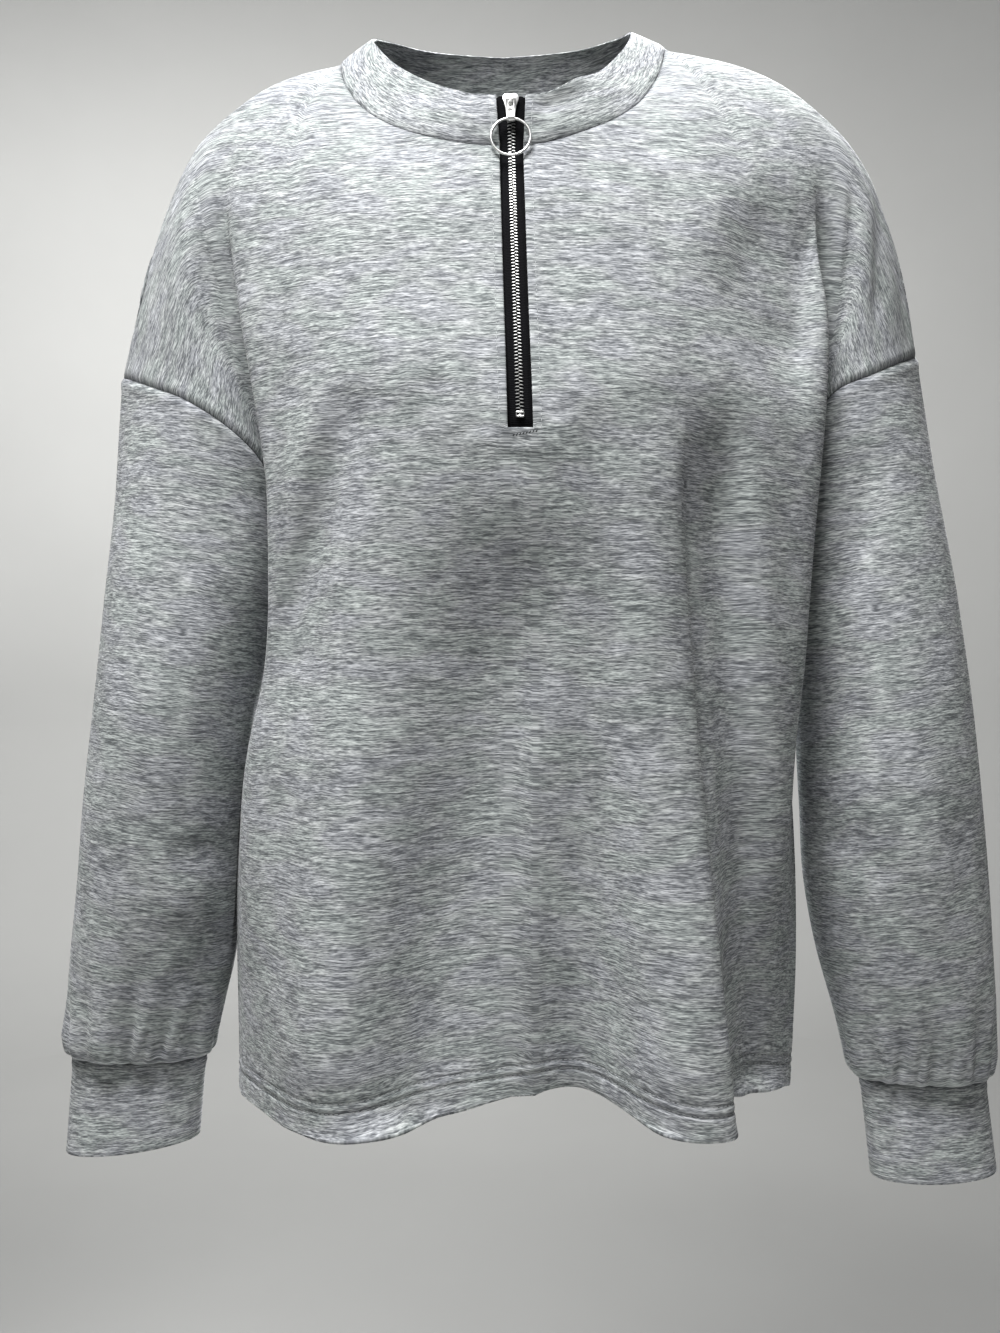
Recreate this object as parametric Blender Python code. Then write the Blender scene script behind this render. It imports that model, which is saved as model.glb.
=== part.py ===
"""Quarter zip sweatshirt, hollow, in the form that it has when it is worn.

Metres in the scene, millimetres in the tables. +Z is up and -Y is the front. The origin is at
the middle of the neck, level with the shoulder seams where they meet the collar. Right and left
are the wearer's: the right half is at -X.
"""
import math

import bmesh
import bpy
import numpy as np

MM = 0.001

# Cloth walls and the space left at a seam, in millimetres.
JERSEY_WALL = 2.0
HEM_WALL = 3.0
COLLAR_WALL = 2.0
CUFF_WALL = 2.4
TAPE_WALL = 1.0
SEAM_GAP = 0.34
TAPE_CLEARANCE = 0.4

# Levels of the body panels.
CHEST_LEVEL = -130.0
UNDERARM_LEVEL = -300.0
SIDE_HEM_LEVEL = -646.0
HEM_DEPTH = 20.0
ZIP_END_LEVEL = -254.0

# How finely the form is divided.
YOKE_ROWS = 5
ZIP_ROWS = 6
ARMPIT_ROWS = 3
SKIRT_ROWS = 11
DROP_COLUMNS = 6
SLEEVE_TOP_ROWS = 4
SLEEVE_ROWS = 7
CUFF_ROWS = 3
COLLAR_ROWS = 3
TAPE_ROWS = 14

DROP_ROWS = YOKE_ROWS + ZIP_ROWS + ARMPIT_ROWS

# The body's upright middle line, as x and y, and the middle of the back at the top and the hem.
BODY_AXIS = (5.0, 0.0)
BACK_MIDDLE_TOP = -4.0
BACK_MIDDLE_HEM = 8.0
# How a dropped shoulder's cloth runs into the sleeve: outward, away from the seam and up.
ARM_SLOPE = np.array((0.12, 0.05, -0.99))
# Rows below the shoulder seam in which a dropped part turns to follow the main part.
SEAM_TURN_ROWS = 3
# Least share of a sleeve's first slope that goes down, and the step that slopes are read over.
LEAST_FALL = 0.6
SLOPE_STEP = 7.0
# A sleeve's turn under itself: share of the way in to the cuff, and how far below the fullest.
TURN_UNDER = ((0.22, 9.0), (0.68, 12.5))
COLLAR_CROWN = 1.2
# Two seams at a corner closer in direction than this count as one.
NEARLY_PARALLEL = 0.12

# Share of the way across a half panel at which each named column of a section stands.
FRONT_STATIONS = {"centre": 0.0, "inner": 0.12, "lobe": 0.30, "flank": 0.48, "dip": 0.62,
                  "edge": 0.78, "valley": 0.90, "join": 1.0}
BACK_STATIONS = {"centre": 0.0, "blade": 0.30, "outer": 0.55, "flank": 0.80, "join": 1.0}
NECK_COLUMN = 0.55
SHOULDER_COLUMNS = (NECK_COLUMN, 0.60, 0.66, 0.72, 0.77, 0.82, 0.88, 0.94, 1.0)
FRONT_COLUMNS = (0.0, 0.06, 0.12, 0.18, 0.24, 0.30, 0.38, 0.46, 0.51) + SHOULDER_COLUMNS
BACK_COLUMNS = (0.0, 0.10, 0.20, 0.30, 0.40, 0.48) + SHOULDER_COLUMNS

# Sections of a front half, from the chest to the hem. Distances go out from the middle and
# forward. The cloth swings out to a lobe, dips, turns over a fold edge and goes in to a valley.
FRONT_FIELDS = ("level", "centre_y", "inner_x", "inner_y", "lobe_x", "lobe_y", "flank_x", "flank_y",
                "dip_x", "dip_y", "edge_x", "edge_y", "valley_x", "valley_y", "join_x", "join_y")
FRONT_RIGHT = (
    (-130, 90, 30, 89, 70, 85, 112, 73, 145, 58, 167, 46, 168, 34, 178, 33),
    (-180, 104, 30, 102.5, 68, 97, 108, 84, 140, 67, 161, 51, 157, 30, 168, 28),
    (-230, 115, 30, 113, 67, 107, 105, 91, 134, 71, 152, 54, 144, 22, 152, 18),
    (-280, 117.5, 30, 115.5, 66, 109, 102, 92, 129, 72, 144, 54, 131, 15, 133, 6),
    (-300, 116, 30, 114, 66, 108, 101, 91, 128, 71, 142.5, 53, 131, 13, 128, 0),
    (-340, 111, 30, 110, 66, 106, 100, 90, 126, 70, 139.5, 50, 134, 18, 131, 0),
    (-380, 108, 31, 107.5, 68, 106, 103, 90, 128, 70, 142, 50, 142, 24, 142, 0),
    (-430, 105, 32, 106.5, 73, 108, 111, 93, 135, 72, 149, 50, 153, 26, 155, 0),
    (-500, 101, 33, 107, 79, 114, 118, 95, 139, 71, 152, 48, 158, 26, 163, 0),
    (-560, 98, 32, 109, 83, 120, 121, 96, 141, 67, 154, 43, 161, 23, 167, 0),
    (-646, 97, 31, 113, 86, 127, 122, 97, 144, 62, 157, 38, 165, 18, 169, 0),
)
FRONT_LEFT = (
    (-130, 90, 36, 88.5, 75, 84, 125, 71, 160, 58, 190, 44, 189, 32, 200, 30),
    (-180, 104, 36, 102, 75, 97, 125, 83, 162, 66, 193, 48, 187, 28, 196, 26),
    (-230, 115, 36, 113, 76, 106, 125, 88, 161, 69, 190, 50, 173, 21, 181, 18),
    (-280, 117.5, 36, 115, 76, 108, 125, 90, 158, 71, 185, 50, 155, 14, 156, 6),
    (-300, 116, 36, 114, 76, 107, 124, 90, 156, 71, 183, 50, 151, 15, 150, 0),
    (-340, 111, 36, 110, 76, 106, 122, 91, 153, 72, 180, 50, 156, 19, 154, 0),
    (-380, 108, 36, 106.5, 77, 106, 120, 93, 150, 73, 177, 50, 163, 22, 162, 0),
    (-430, 105, 36, 102, 78, 108, 120, 97, 146, 75, 170, 50, 168, 26, 173, 0),
    (-500, 100, 37, 92, 82, 112, 119, 106, 140, 80, 162, 56, 170, 28, 179, 0),
    (-560, 96, 38, 84, 86, 118, 122, 112, 133, 86, 152, 64, 168, 31, 180, 0),
    (-646, 91, 40, 75, 82, 122, 120, 121, 131, 86, 146, 62, 163, 34, 176, 0),
)
BACK_FIELDS = ("level", "centre_y", "blade_x", "blade_y", "outer_x", "outer_y", "flank_x",
               "flank_y", "join_x", "join_y")
BACK_RIGHT = (
    (-130, -86, 70, -88, 117, -81, 152, -66, 178, -47),
    (-180, -90, 66, -93, 112, -87, 148, -70, 165, -53),
    (-230, -93, 62, -96, 108, -89, 143, -69, 150, -46),
    (-280, -95, 58, -98, 105, -89, 140, -64, 133, -25),
    (-300, -96, 56, -99, 104, -89, 139, -62, 128, 0),
    (-340, -98, 55, -100, 104, -88, 138, -58, 131, 0),
    (-380, -99, 55, -102, 106, -88, 143, -56, 142, 0),
    (-430, -101, 56, -103, 111, -91, 150, -55, 155, 0),
    (-500, -103, 58, -107, 116, -95, 155, -55, 163, 0),
    (-560, -104, 60, -111, 120, -99, 158, -56, 167, 0),
    (-646, -105, 62, -116, 124, -104, 160, -57, 169, 0),
)
BACK_LEFT = (
    (-130, -86, 66, -88, 116, -82, 165, -66, 198, -46),
    (-180, -90, 65, -93, 116, -88, 164, -70, 190, -53),
    (-230, -93, 64, -96, 117, -90, 162, -69, 173, -46),
    (-280, -95, 63, -98, 117, -90, 161, -64, 155, -25),
    (-300, -96, 62, -99, 117, -89, 161, -62, 150, 0),
    (-340, -98, 61, -100, 117, -89, 161, -59, 154, 0),
    (-380, -99, 61, -102, 118, -89, 163, -58, 162, 0),
    (-430, -101, 62, -104, 121, -92, 167, -57, 173, 0),
    (-500, -103, 64, -108, 126, -97, 170, -57, 179, 0),
    (-560, -104, 66, -112, 129, -101, 169, -58, 180, 0),
    (-646, -105, 68, -117, 131, -106, 167, -59, 176, 0),
)

# Level of the hem's edge at each station: it rises over the dip between the two front lobes.
FRONT_HEM_LEVELS = {
    "right": {"centre": -621, "inner": -624.5, "lobe": -633.5, "flank": -638.5, "dip": -640,
              "edge": -642, "valley": -645, "join": -646},
    "left": {"centre": -621, "inner": -621.5, "lobe": -632.5, "flank": -634, "dip": -630,
             "edge": -631.5, "valley": -636, "join": -646},
}
BACK_HEM_LEVELS = {"centre": -652, "blade": -653, "outer": -651, "flank": -648, "join": -646}

# Neck seam and top edge of the collar, from the zip (0) past the shoulder seam (0.5) to the
# middle of the back (1).
NECK_FIELDS = ("share", "seam_x", "seam_y", "seam_z", "top_x", "top_y", "top_z")
NECK_RIGHT = (
    (0.00, -6.4, -75, -85, -8.6, -72, -54.5),
    (0.08, -29, -72, -82, -24, -68, -51.5),
    (0.17, -52, -64, -74, -41, -58, -43),
    (0.27, -74, -51, -61, -59.5, -43, -28.5),
    (0.36, -91, -34, -43, -73, -26, -12.5),
    (0.43, -102, -16, -22, -82, -8, 4),
    (0.50, -107, 5, -1, -87, 7, 16),
    (0.66, -97, 38, 6, -79, 33, 28),
    (0.82, -64, 62, 6, -52, 53, 31),
    (1.00, -4, 71, 5, -4, 61, 31),
)
NECK_LEFT = (
    (0.00, 7.0, -75, -85, 8.3, -72, -54.5),
    (0.08, 23, -73, -81.5, 23, -68, -50.5),
    (0.17, 43, -65, -72, 38, -57, -38),
    (0.27, 65, -51, -57, 52, -41, -27),
    (0.36, 81, -34, -38, 63, -25, -11.5),
    (0.43, 92, -15, -15, 72, -9, 5),
    (0.50, 98, 5, 9, 77, 7, 20),
    (0.66, 88, 38, 11, 70, 33, 30),
    (0.82, 57, 62, 8, 45, 53, 32),
    (1.00, -4, 71, 5, -4, 61, 31),
)

# How the cloth leaves the neck and shoulder seams, across a half panel.
LEAVING_FIELDS = ("column", "outward", "forward", "down")
FRONT_LEAVING = ((0.0, 0.0, 0.32, 0.95), (0.3, 0.25, 0.5, 0.8), (0.46, 0.5, 0.6, 0.6),
                 (0.55, 0.3, 0.75, 0.6), (0.70, 0.0, 0.8, 0.6), (1.0, 0.0, 0.8, 0.6))
BACK_LEAVING = ((0.0, 0.0, -0.45, 0.9), (0.25, 0.08, -0.65, 0.75), (0.42, 0.0, -0.85, 0.5),
                (0.55, 0.0, -0.97, 0.2), (0.70, 0.0, -0.92, 0.38), (1.0, 0.0, -0.85, 0.53))

# Shoulder seams, from the neck (0) to where the cloth turns down (1), then on to the sleeve.
SEAM_FIELDS = ("share", "x", "y", "z")
YOKE_SEAM_RIGHT = ((0.0, -107, 5, -1), (0.28, -131, -2, -10), (0.60, -156, -6, -23),
                   (0.82, -175, -8, -38), (1.0, -192, -8, -54))
YOKE_SEAM_LEFT = ((0.0, 98, 5, 9), (0.20, 120, -2, 1), (0.44, 144, -6, -7), (0.66, 169, -8, -19),
                  (0.83, 188, -8, -33), (1.0, 206, -8, -50))
DROP_SEAM_RIGHT = ((0.0, -192, -8, -54), (0.14, -203, -8, -72), (0.38, -217, -8, -111),
                   (0.62, -227, -7, -147), (0.85, -238, -3, -181), (1.0, -244, 0, -200))
DROP_SEAM_LEFT = ((0.0, 206, -8, -50), (0.18, 221, -8, -70), (0.40, 234, -8, -100),
                  (0.62, 244, -7, -131), (0.82, 251, -4, -160), (1.0, 256, 0, -187))

# Armhole seams from the top of the sleeve (0) to the underarm (1).
ARMHOLE_FRONT_RIGHT = ((0.0, -244, 0, -200), (0.20, -220, -24, -211), (0.37, -195, -38, -222),
                       (0.56, -167, -34, -240), (0.68, -154, -25, -253), (0.83, -143, -14, -273),
                       (1.0, -128, 0, -300))
ARMHOLE_BACK_RIGHT = ((0.0, -244, 0, -200), (0.18, -232, 28, -206), (0.36, -207, 47, -216),
                      (0.54, -179, 49, -232), (0.69, -156, 38, -252), (0.84, -138, 20, -277),
                      (1.0, -128, 0, -300))
ARMHOLE_FRONT_LEFT = ((0.0, 256, 0, -187), (0.18, 238, -20, -196), (0.34, 219, -30, -205),
                      (0.50, 197, -31, -215), (0.68, 180, -23, -237), (0.84, 165, -11, -267),
                      (1.0, 150, 0, -300))
ARMHOLE_BACK_LEFT = ((0.0, 256, 0, -187), (0.18, 246, 28, -194), (0.36, 226, 47, -206),
                     (0.54, 200, 50, -224), (0.69, 178, 39, -246), (0.84, 161, 20, -273),
                     (1.0, 150, 0, -300))

# Sleeve sections. The last row is the fullest one, where the cloth turns in over the cuff.
SLEEVE_FIELDS = ("level", "inner_x", "outer_x", "front_y", "back_y")
SLEEVE_RIGHT = (
    (-345, 146, 256, 46, -62),
    (-400, 160, 261, 50, -66),
    (-465, 168, 268, 49, -64),
    (-515, 171, 272, 45, -59),
    (-560, 174, 277, 38, -53),
    (-590, 180, 280, 33, -48),
    (-614, 185, 284, 30, -46),
)
SLEEVE_LEFT = (
    (-345, 166, 283, 44, -62),
    (-400, 180, 290, 48, -66),
    (-465, 185, 296.5, 48, -64),
    (-516, 187.5, 301, 45, -60),
    (-560, 195, 304, 40, -54),
    (-600, 206, 307, 34, -49),
    (-627, 212, 308.5, 29, -44),
)
# Cuff rings: the middle and half sizes at the top, where the sleeve is sewn on, and at the edge.
CUFF_FIELDS = ("top_z", "top_x", "top_y", "bottom_z", "bottom_x", "bottom_y", "half_width",
               "half_depth", "edge_rise")
CUFF_RIGHT = (-627, -235, 8, -683, -238.5, 5, 42, 22.5, -5)
CUFF_LEFT = (-641, 262, 8, -702, 268.5, 6, 39.5, 22, 2)

# Gathers where a sleeve meets its cuff: where each crease stands, how far up it reaches,
# how deep it is and how wide, in degrees round the sleeve from its outer side by the front.
GATHER_FIELDS = ("angle", "reach", "depth", "spread")
GATHERS = (
    (26, 36, 4.0, 9), (51, 50, 5.0, 9), (90, 66, 6.0, 10), (116, 54, 5.5, 9), (141, 42, 4.5, 9),
    (180, 34, 3.5, 9), (219, 56, 5.0, 9), (257, 68, 5.5, 10), (296, 46, 4.5, 9), (334, 38, 4.0, 9),
)

# Zip: the line of its middle, then half the width of the slot that it shows in.
ZIP_FIELDS = ("level", "depth_y", "middle_x", "slot_half")
ZIP_LINE = (
    (-54.5, 72.0, -0.2, 8.4),
    (-66.0, 73.3, 0.1, 7.2),
    (-75.0, 74.2, 0.2, 6.7),
    (-85.0, 75.0, 0.3, 6.7),
    (-130.0, 90.0, 1.2, 6.7),
    (-180.0, 104.0, 2.5, 6.7),
    (-230.0, 115.0, 4.0, 6.7),
    (-254.0, 117.4, 4.7, 6.7),
    (-300.0, 116.0, 5.5, 6.7),
    (-646.0, 93.0, 7.5, 6.7),
)
# Zip tapes: how far out they go behind the cloth and below the slot, how far their middle comes
# forward in the slot, and how their inner edges part above the slider.
TAPE_OUTER = 13.0
TAPE_TUCK = 8.0
TAPE_RISE = 1.1
TAPE_START = 0.5
TAPE_APART = 2.3
TAPE_APART_LENGTH = 7.5
TAPE_TOP_LENGTH = 9.0
TAPE_TOP_ROWS = 3
TAPE_MIDDLE_GAP = 0.17
# Across the tape from the slot's edge, and how far behind the cloth's inner face.
TAPE_BEND = ((-1.9, 0.0), (-0.4, 0.2))
TAPE_OUTER_DEPTH = 0.9

# Slider, link and ring, in the slider's own frame: along the zip and out from the tape.
SLIDER_LENGTH = 13.6
SLIDER_TOP_HALF = 4.6
SLIDER_TAIL_HALF = 2.9
PLATE_WALL = 1.1
PLATE_SPACE = 3.0
CROWN_HALF_WIDTH = 0.9
CROWN_TOP = 2.0
CROWN_BOTTOM = 7.1
CROWN_LEG = 1.2
CROWN_WALL = 1.0
CROWN_ROOM = 0.4
MERGE = 0.3
# The slider's right half, from its notch round to its tail: across and down.
SLIDER_OUTLINE = ((0.0, 0.9), (0.9, 0.2), (2.2, 0.0), (3.5, 0.5), (SLIDER_TOP_HALF, 1.9),
                  (SLIDER_TOP_HALF, 3.4), (3.9, 5.2), (3.2, 7.4), (SLIDER_TAIL_HALF, 10.5),
                  (2.6, 13.0), (1.9, SLIDER_LENGTH))
BACK_PLATE_INSET = 0.2
POST_OUTLINE = ((0.0, 0.8), (1.3, 1.6), (1.5, 3.0), (0.0, 6.6))
LINK_PIN_DROP = 4.15
LINK_LIFT = 0.35
LINK_PIN_RADIUS = 0.65
LINK_WALL = 1.2
LINK_HALF_WIDTH = 2.8
LINK_SHOULDER_DROP = 6.0
# Holes through the link: half width, top and bottom, down the zip.
LINK_WINDOW = (1.45, 4.55, 8.75)
LINK_SLOT = (1.3, 10.4, 11.6)
EYE_DROP = 16.2
EYE_OUTER = 1.85
EYE_HOLE = 1.28
EYE_HALF_WIDTH = 2.2
EYE_LIFT = 0.1
RING_RADIUS = 11.2
RING_WIRE = 0.8
RING_LEAN = math.radians(8.0)
RING_STEPS = 36
WIRE_SIDES = 8
BAR_SIDES = 16
# Bottom stop: its level, half width, half length, height and rounded edges.
STOP_LEVEL = -246.6
STOP_HALF_WIDTH = 2.3
STOP_HALF_LENGTH = 1.7
STOP_HEIGHT = 1.3
STOP_SINK = 0.3
STOP_ROUNDING = 0.35

# Colours, roughness and metal of each material.
MATERIALS = {
    "heather_jersey": ((0.40, 0.41, 0.43), 0.92, 0.0),
    "black_tape": ((0.012, 0.012, 0.014), 0.85, 0.0),
    "silver_metal": ((0.78, 0.78, 0.77), 0.28, 1.0),
}


# ---------------------------------------------------------------- curves and tables
def smooth_curve(stations, values, at):
    """The curve through values at stations, read at the positions in at."""
    stations = np.asarray(stations, float)
    values = np.asarray(values, float)
    at = np.atleast_1d(np.asarray(at, float))
    gaps = np.diff(stations)
    slopes = np.diff(values, axis=0) / gaps[:, None]
    tangents = np.empty_like(values)
    weight = (gaps[:-1] / (gaps[:-1] + gaps[1:]))[:, None]
    tangents[1:-1] = slopes[:-1] * (1 - weight) + slopes[1:] * weight
    tangents[0] = 1.5 * slopes[0] - 0.5 * tangents[1]
    tangents[-1] = 1.5 * slopes[-1] - 0.5 * tangents[-2]
    piece = np.clip(np.searchsorted(stations, at, side="right") - 1, 0, len(gaps) - 1)
    width = gaps[piece]
    return hermite(values[piece], tangents[piece] * width[:, None], values[piece + 1],
                   tangents[piece + 1] * width[:, None], (at - stations[piece]) / width)


def hermite(start, start_tangent, end, end_tangent, share):
    """The cubic from start to end with the given tangents, at each share of the way."""
    t = np.asarray(share, float)[..., None]
    return (start * (2 * t ** 3 - 3 * t ** 2 + 1) + start_tangent * (t ** 3 - 2 * t ** 2 + t)
            + end * (3 * t ** 2 - 2 * t ** 3) + end_tangent * (t ** 3 - t ** 2))


def column(table, fields, name):
    """One named column of a table."""
    return np.array([row[fields.index(name)] for row in table], float)


def columns(table, fields, names):
    """Some named columns of a table, side by side."""
    return np.stack([column(table, fields, name) for name in names], axis=1)


def seam_points(table, shares):
    """Points of a shoulder or armhole seam, at shares of the way along it."""
    return smooth_curve(column(table, SEAM_FIELDS, "share"),
                        columns(table, SEAM_FIELDS, ("x", "y", "z")), shares)


def zip_values(level):
    """Depth, middle and slot half width of the zip at each level."""
    values = columns(ZIP_LINE, ZIP_FIELDS, ("depth_y", "middle_x", "slot_half"))
    return smooth_curve(-column(ZIP_LINE, ZIP_FIELDS, "level"), values, -np.atleast_1d(level))


# ---------------------------------------------------------------- body panels
def section_knots(table, fields, stations, side):
    """The named points of each section: level by station, as x and y."""
    names = list(stations)
    levels = column(table, fields, "level")
    knots = np.zeros((len(table), len(names), 2))
    knots[:, 0, 1] = -column(table, fields, "centre_y")
    for k, name in enumerate(names[1:], start=1):
        knots[:, k, 0] = side * column(table, fields, name + "_x")
        knots[:, k, 1] = -column(table, fields, name + "_y")
    return levels, knots


def half_panel(table, fields, stations, across, side, hem_levels, top, top_tangent, middle):
    """Rows of points of a half panel: its top edge, chest, underarm and hem, as x, y and z."""
    levels, knots = section_knots(table, fields, stations, side)
    knots[:, 0, 0] = middle(levels)
    shares = list(stations.values())
    flat = np.stack([smooth_curve(shares, row, across).ravel() for row in knots])
    hem = smooth_curve(shares, [[hem_levels[name]] for name in stations], across)[:, 0]

    def level_row(level):
        points = np.empty((len(across), 3))
        points[:, :2] = smooth_curve(-levels, flat, -level).reshape(len(across), 2)
        if level < UNDERARM_LEVEL:
            points[-1, :2] = side * side_seam_out(side, level), 0.0
        drop = np.clip((UNDERARM_LEVEL - level) / (UNDERARM_LEVEL - SIDE_HEM_LEVEL), 0, 1)
        points[:, 2] = level + (hem - SIDE_HEM_LEVEL) * drop ** 2
        return points

    chest = level_row(CHEST_LEVEL)
    slope = (level_row(CHEST_LEVEL - SLOPE_STEP) - chest) / SLOPE_STEP
    reach = np.linalg.norm(chest - top, axis=1)[:, None]
    rows = [top]
    for k in range(1, YOKE_ROWS + 1):
        share = np.full(len(across), k / YOKE_ROWS)
        rows.append(hermite(top, top_tangent * reach, chest, slope * reach, share))
    hem_top = SIDE_HEM_LEVEL + HEM_DEPTH
    for start, end, count in ((CHEST_LEVEL, ZIP_END_LEVEL, ZIP_ROWS),
                              (ZIP_END_LEVEL, UNDERARM_LEVEL, ARMPIT_ROWS),
                              (UNDERARM_LEVEL, hem_top, SKIRT_ROWS - 1),
                              (hem_top, SIDE_HEM_LEVEL, 1)):
        for level in np.linspace(start, end, count + 1)[1:]:
            rows.append(level_row(level))
    return np.stack(rows)


def side_seam_out(side, level):
    """How far out a side seam stands at a level below the underarm."""
    table = [row for row in (FRONT_RIGHT if side < 0 else FRONT_LEFT) if row[0] <= UNDERARM_LEVEL]
    levels = column(table, FRONT_FIELDS, "level")
    return smooth_curve(-levels, column(table, FRONT_FIELDS, "join_x")[:, None], -level)[0, 0]


def drop_panel(panel, shoulder, armhole, arm_slope):
    """Rows of the dropped part of a panel, from its join with the main part to the armhole."""
    join = panel[:DROP_ROWS + 1, -1]
    along = join - panel[:DROP_ROWS + 1, -2]
    along /= np.linalg.norm(along, axis=1)[:, None]
    edge = seam_points(armhole, np.linspace(0, 1, DROP_ROWS + 1))
    across = np.linspace(0, 1, DROP_COLUMNS + 1)
    rows = [seam_points(shoulder, across)]
    down_seam = (rows[0][1] - rows[0][0]) / np.linalg.norm(rows[0][1] - rows[0][0])
    for k in range(1, DROP_ROWS):
        reach = np.linalg.norm(edge[k] - join[k])
        turn = min(1.0, k / SEAM_TURN_ROWS)
        start = along[k] * turn + down_seam * (1 - turn)
        rows.append(hermite(join[k], start * reach, edge[k], arm_slope * reach, across))
    rows.append(np.repeat(join[DROP_ROWS][None], DROP_COLUMNS + 1, axis=0))
    return np.stack(rows)


def top_directions(across, table, sign):
    """Direction in which the cloth leaves the top edge at each column of a half panel."""
    stations = column(table, LEAVING_FIELDS, "column")
    directions = np.stack([np.interp(across, stations, column(table, LEAVING_FIELDS, name))
                           for name in ("outward", "forward", "down")], axis=1)
    directions *= (sign, -1, -1)
    return directions / np.linalg.norm(directions, axis=1)[:, None]


def neck_shares(across, back):
    """How far round the neck seam each column of a half panel stands, up to the shoulder."""
    shares = np.array([0.5 * share / NECK_COLUMN for share in across if share < NECK_COLUMN])
    return 1 - shares if back else shares


def top_edge(across, neck, yoke_seam, back):
    """Points of a half panel's top edge: the neck seam, then the shoulder seam."""
    round_neck = smooth_curve(column(neck, NECK_FIELDS, "share"),
                              columns(neck, NECK_FIELDS, ("seam_x", "seam_y", "seam_z")),
                              neck_shares(across, back))
    along = [(share - NECK_COLUMN) / (1 - NECK_COLUMN) for share in across if share >= NECK_COLUMN]
    return np.concatenate([round_neck, seam_points(yoke_seam, along)])


# Wearer's sides: the sign of x, and the tables that belong to each.
SIDES = {
    "right": {"sign": -1, "front": FRONT_RIGHT, "back": BACK_RIGHT, "neck": NECK_RIGHT,
              "yoke": YOKE_SEAM_RIGHT, "drop": DROP_SEAM_RIGHT, "armhole_front": ARMHOLE_FRONT_RIGHT,
              "armhole_back": ARMHOLE_BACK_RIGHT, "sleeve": SLEEVE_RIGHT, "cuff": CUFF_RIGHT},
    "left": {"sign": 1, "front": FRONT_LEFT, "back": BACK_LEFT, "neck": NECK_LEFT,
             "yoke": YOKE_SEAM_LEFT, "drop": DROP_SEAM_LEFT, "armhole_front": ARMHOLE_FRONT_LEFT,
             "armhole_back": ARMHOLE_BACK_LEFT, "sleeve": SLEEVE_LEFT, "cuff": CUFF_LEFT},
}


def front_half(name):
    """Main and dropped part of one half of the front."""
    side = SIDES[name]
    sign = side["sign"]

    def middle(levels):
        values = zip_values(levels)
        return values[:, 1] + sign * values[:, 2]

    top = top_edge(FRONT_COLUMNS, side["neck"], side["yoke"], back=False)
    directions = top_directions(FRONT_COLUMNS, FRONT_LEAVING, sign)
    main = half_panel(side["front"], FRONT_FIELDS, FRONT_STATIONS, FRONT_COLUMNS, sign,
                      FRONT_HEM_LEVELS[name], top, directions, middle)
    arm_slope = np.array((sign, -1, 1)) * ARM_SLOPE
    return main, drop_panel(main, side["drop"], side["armhole_front"], arm_slope)


def back_half(name):
    """Main and dropped part of one half of the back."""
    side = SIDES[name]
    sign = side["sign"]

    def middle(levels):
        down = (levels - CHEST_LEVEL) / (SIDE_HEM_LEVEL - CHEST_LEVEL)
        return BACK_MIDDLE_TOP + (BACK_MIDDLE_HEM - BACK_MIDDLE_TOP) * np.clip(down, 0, 1)

    top = top_edge(BACK_COLUMNS, side["neck"], side["yoke"], back=True)
    directions = top_directions(BACK_COLUMNS, BACK_LEAVING, sign)
    main = half_panel(side["back"], BACK_FIELDS, BACK_STATIONS, BACK_COLUMNS, sign,
                      BACK_HEM_LEVELS, top, directions, middle)
    arm_slope = np.array((sign, 1, 1)) * ARM_SLOPE
    return main, drop_panel(main, side["drop"], side["armhole_back"], arm_slope)


# ---------------------------------------------------------------- sleeves, cuffs and collar
def gather_depth(angles, height):
    """How far the cloth is drawn in, round the sleeve, at a height above the cuff."""
    total = np.zeros_like(angles)
    for angle, reach, depth, spread in columns(GATHERS, GATHER_FIELDS, GATHER_FIELDS):
        turn = (np.degrees(angles) - angle + 180) % 360 - 180
        fade = np.clip(1 - height / reach, 0, 1)
        total += depth * fade * np.exp(-(turn / spread) ** 2)
    return total


def ring_angles(loop):
    """Angles round a sleeve, one for each point of its armhole loop."""
    return np.arange(len(loop)) * 2 * math.pi / len(loop)


def ellipse(centre, half_width, half_depth, angles, sign):
    """A ring of points: angle 0 is the outer side and a quarter turn is the front."""
    points = np.empty((len(angles), 3))
    points[:, 0] = centre[0] + sign * half_width * np.cos(angles)
    points[:, 1] = centre[1] - half_depth * np.sin(angles)
    points[:, 2] = centre[2]
    return points


def cuff_ring(name, share, angles):
    """The ring of a cuff at a share of the way down it."""
    side = SIDES[name]
    cuff = dict(zip(CUFF_FIELDS, side["cuff"]))
    top = np.array((cuff["top_x"], cuff["top_y"], cuff["top_z"]))
    bottom = np.array((cuff["bottom_x"], cuff["bottom_y"], cuff["bottom_z"]))
    centre = top + (bottom - top) * share
    points = ellipse(centre, cuff["half_width"], cuff["half_depth"], angles, side["sign"])
    points[:, 2] += cuff["edge_rise"] * share * np.cos(angles)
    return points


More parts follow.
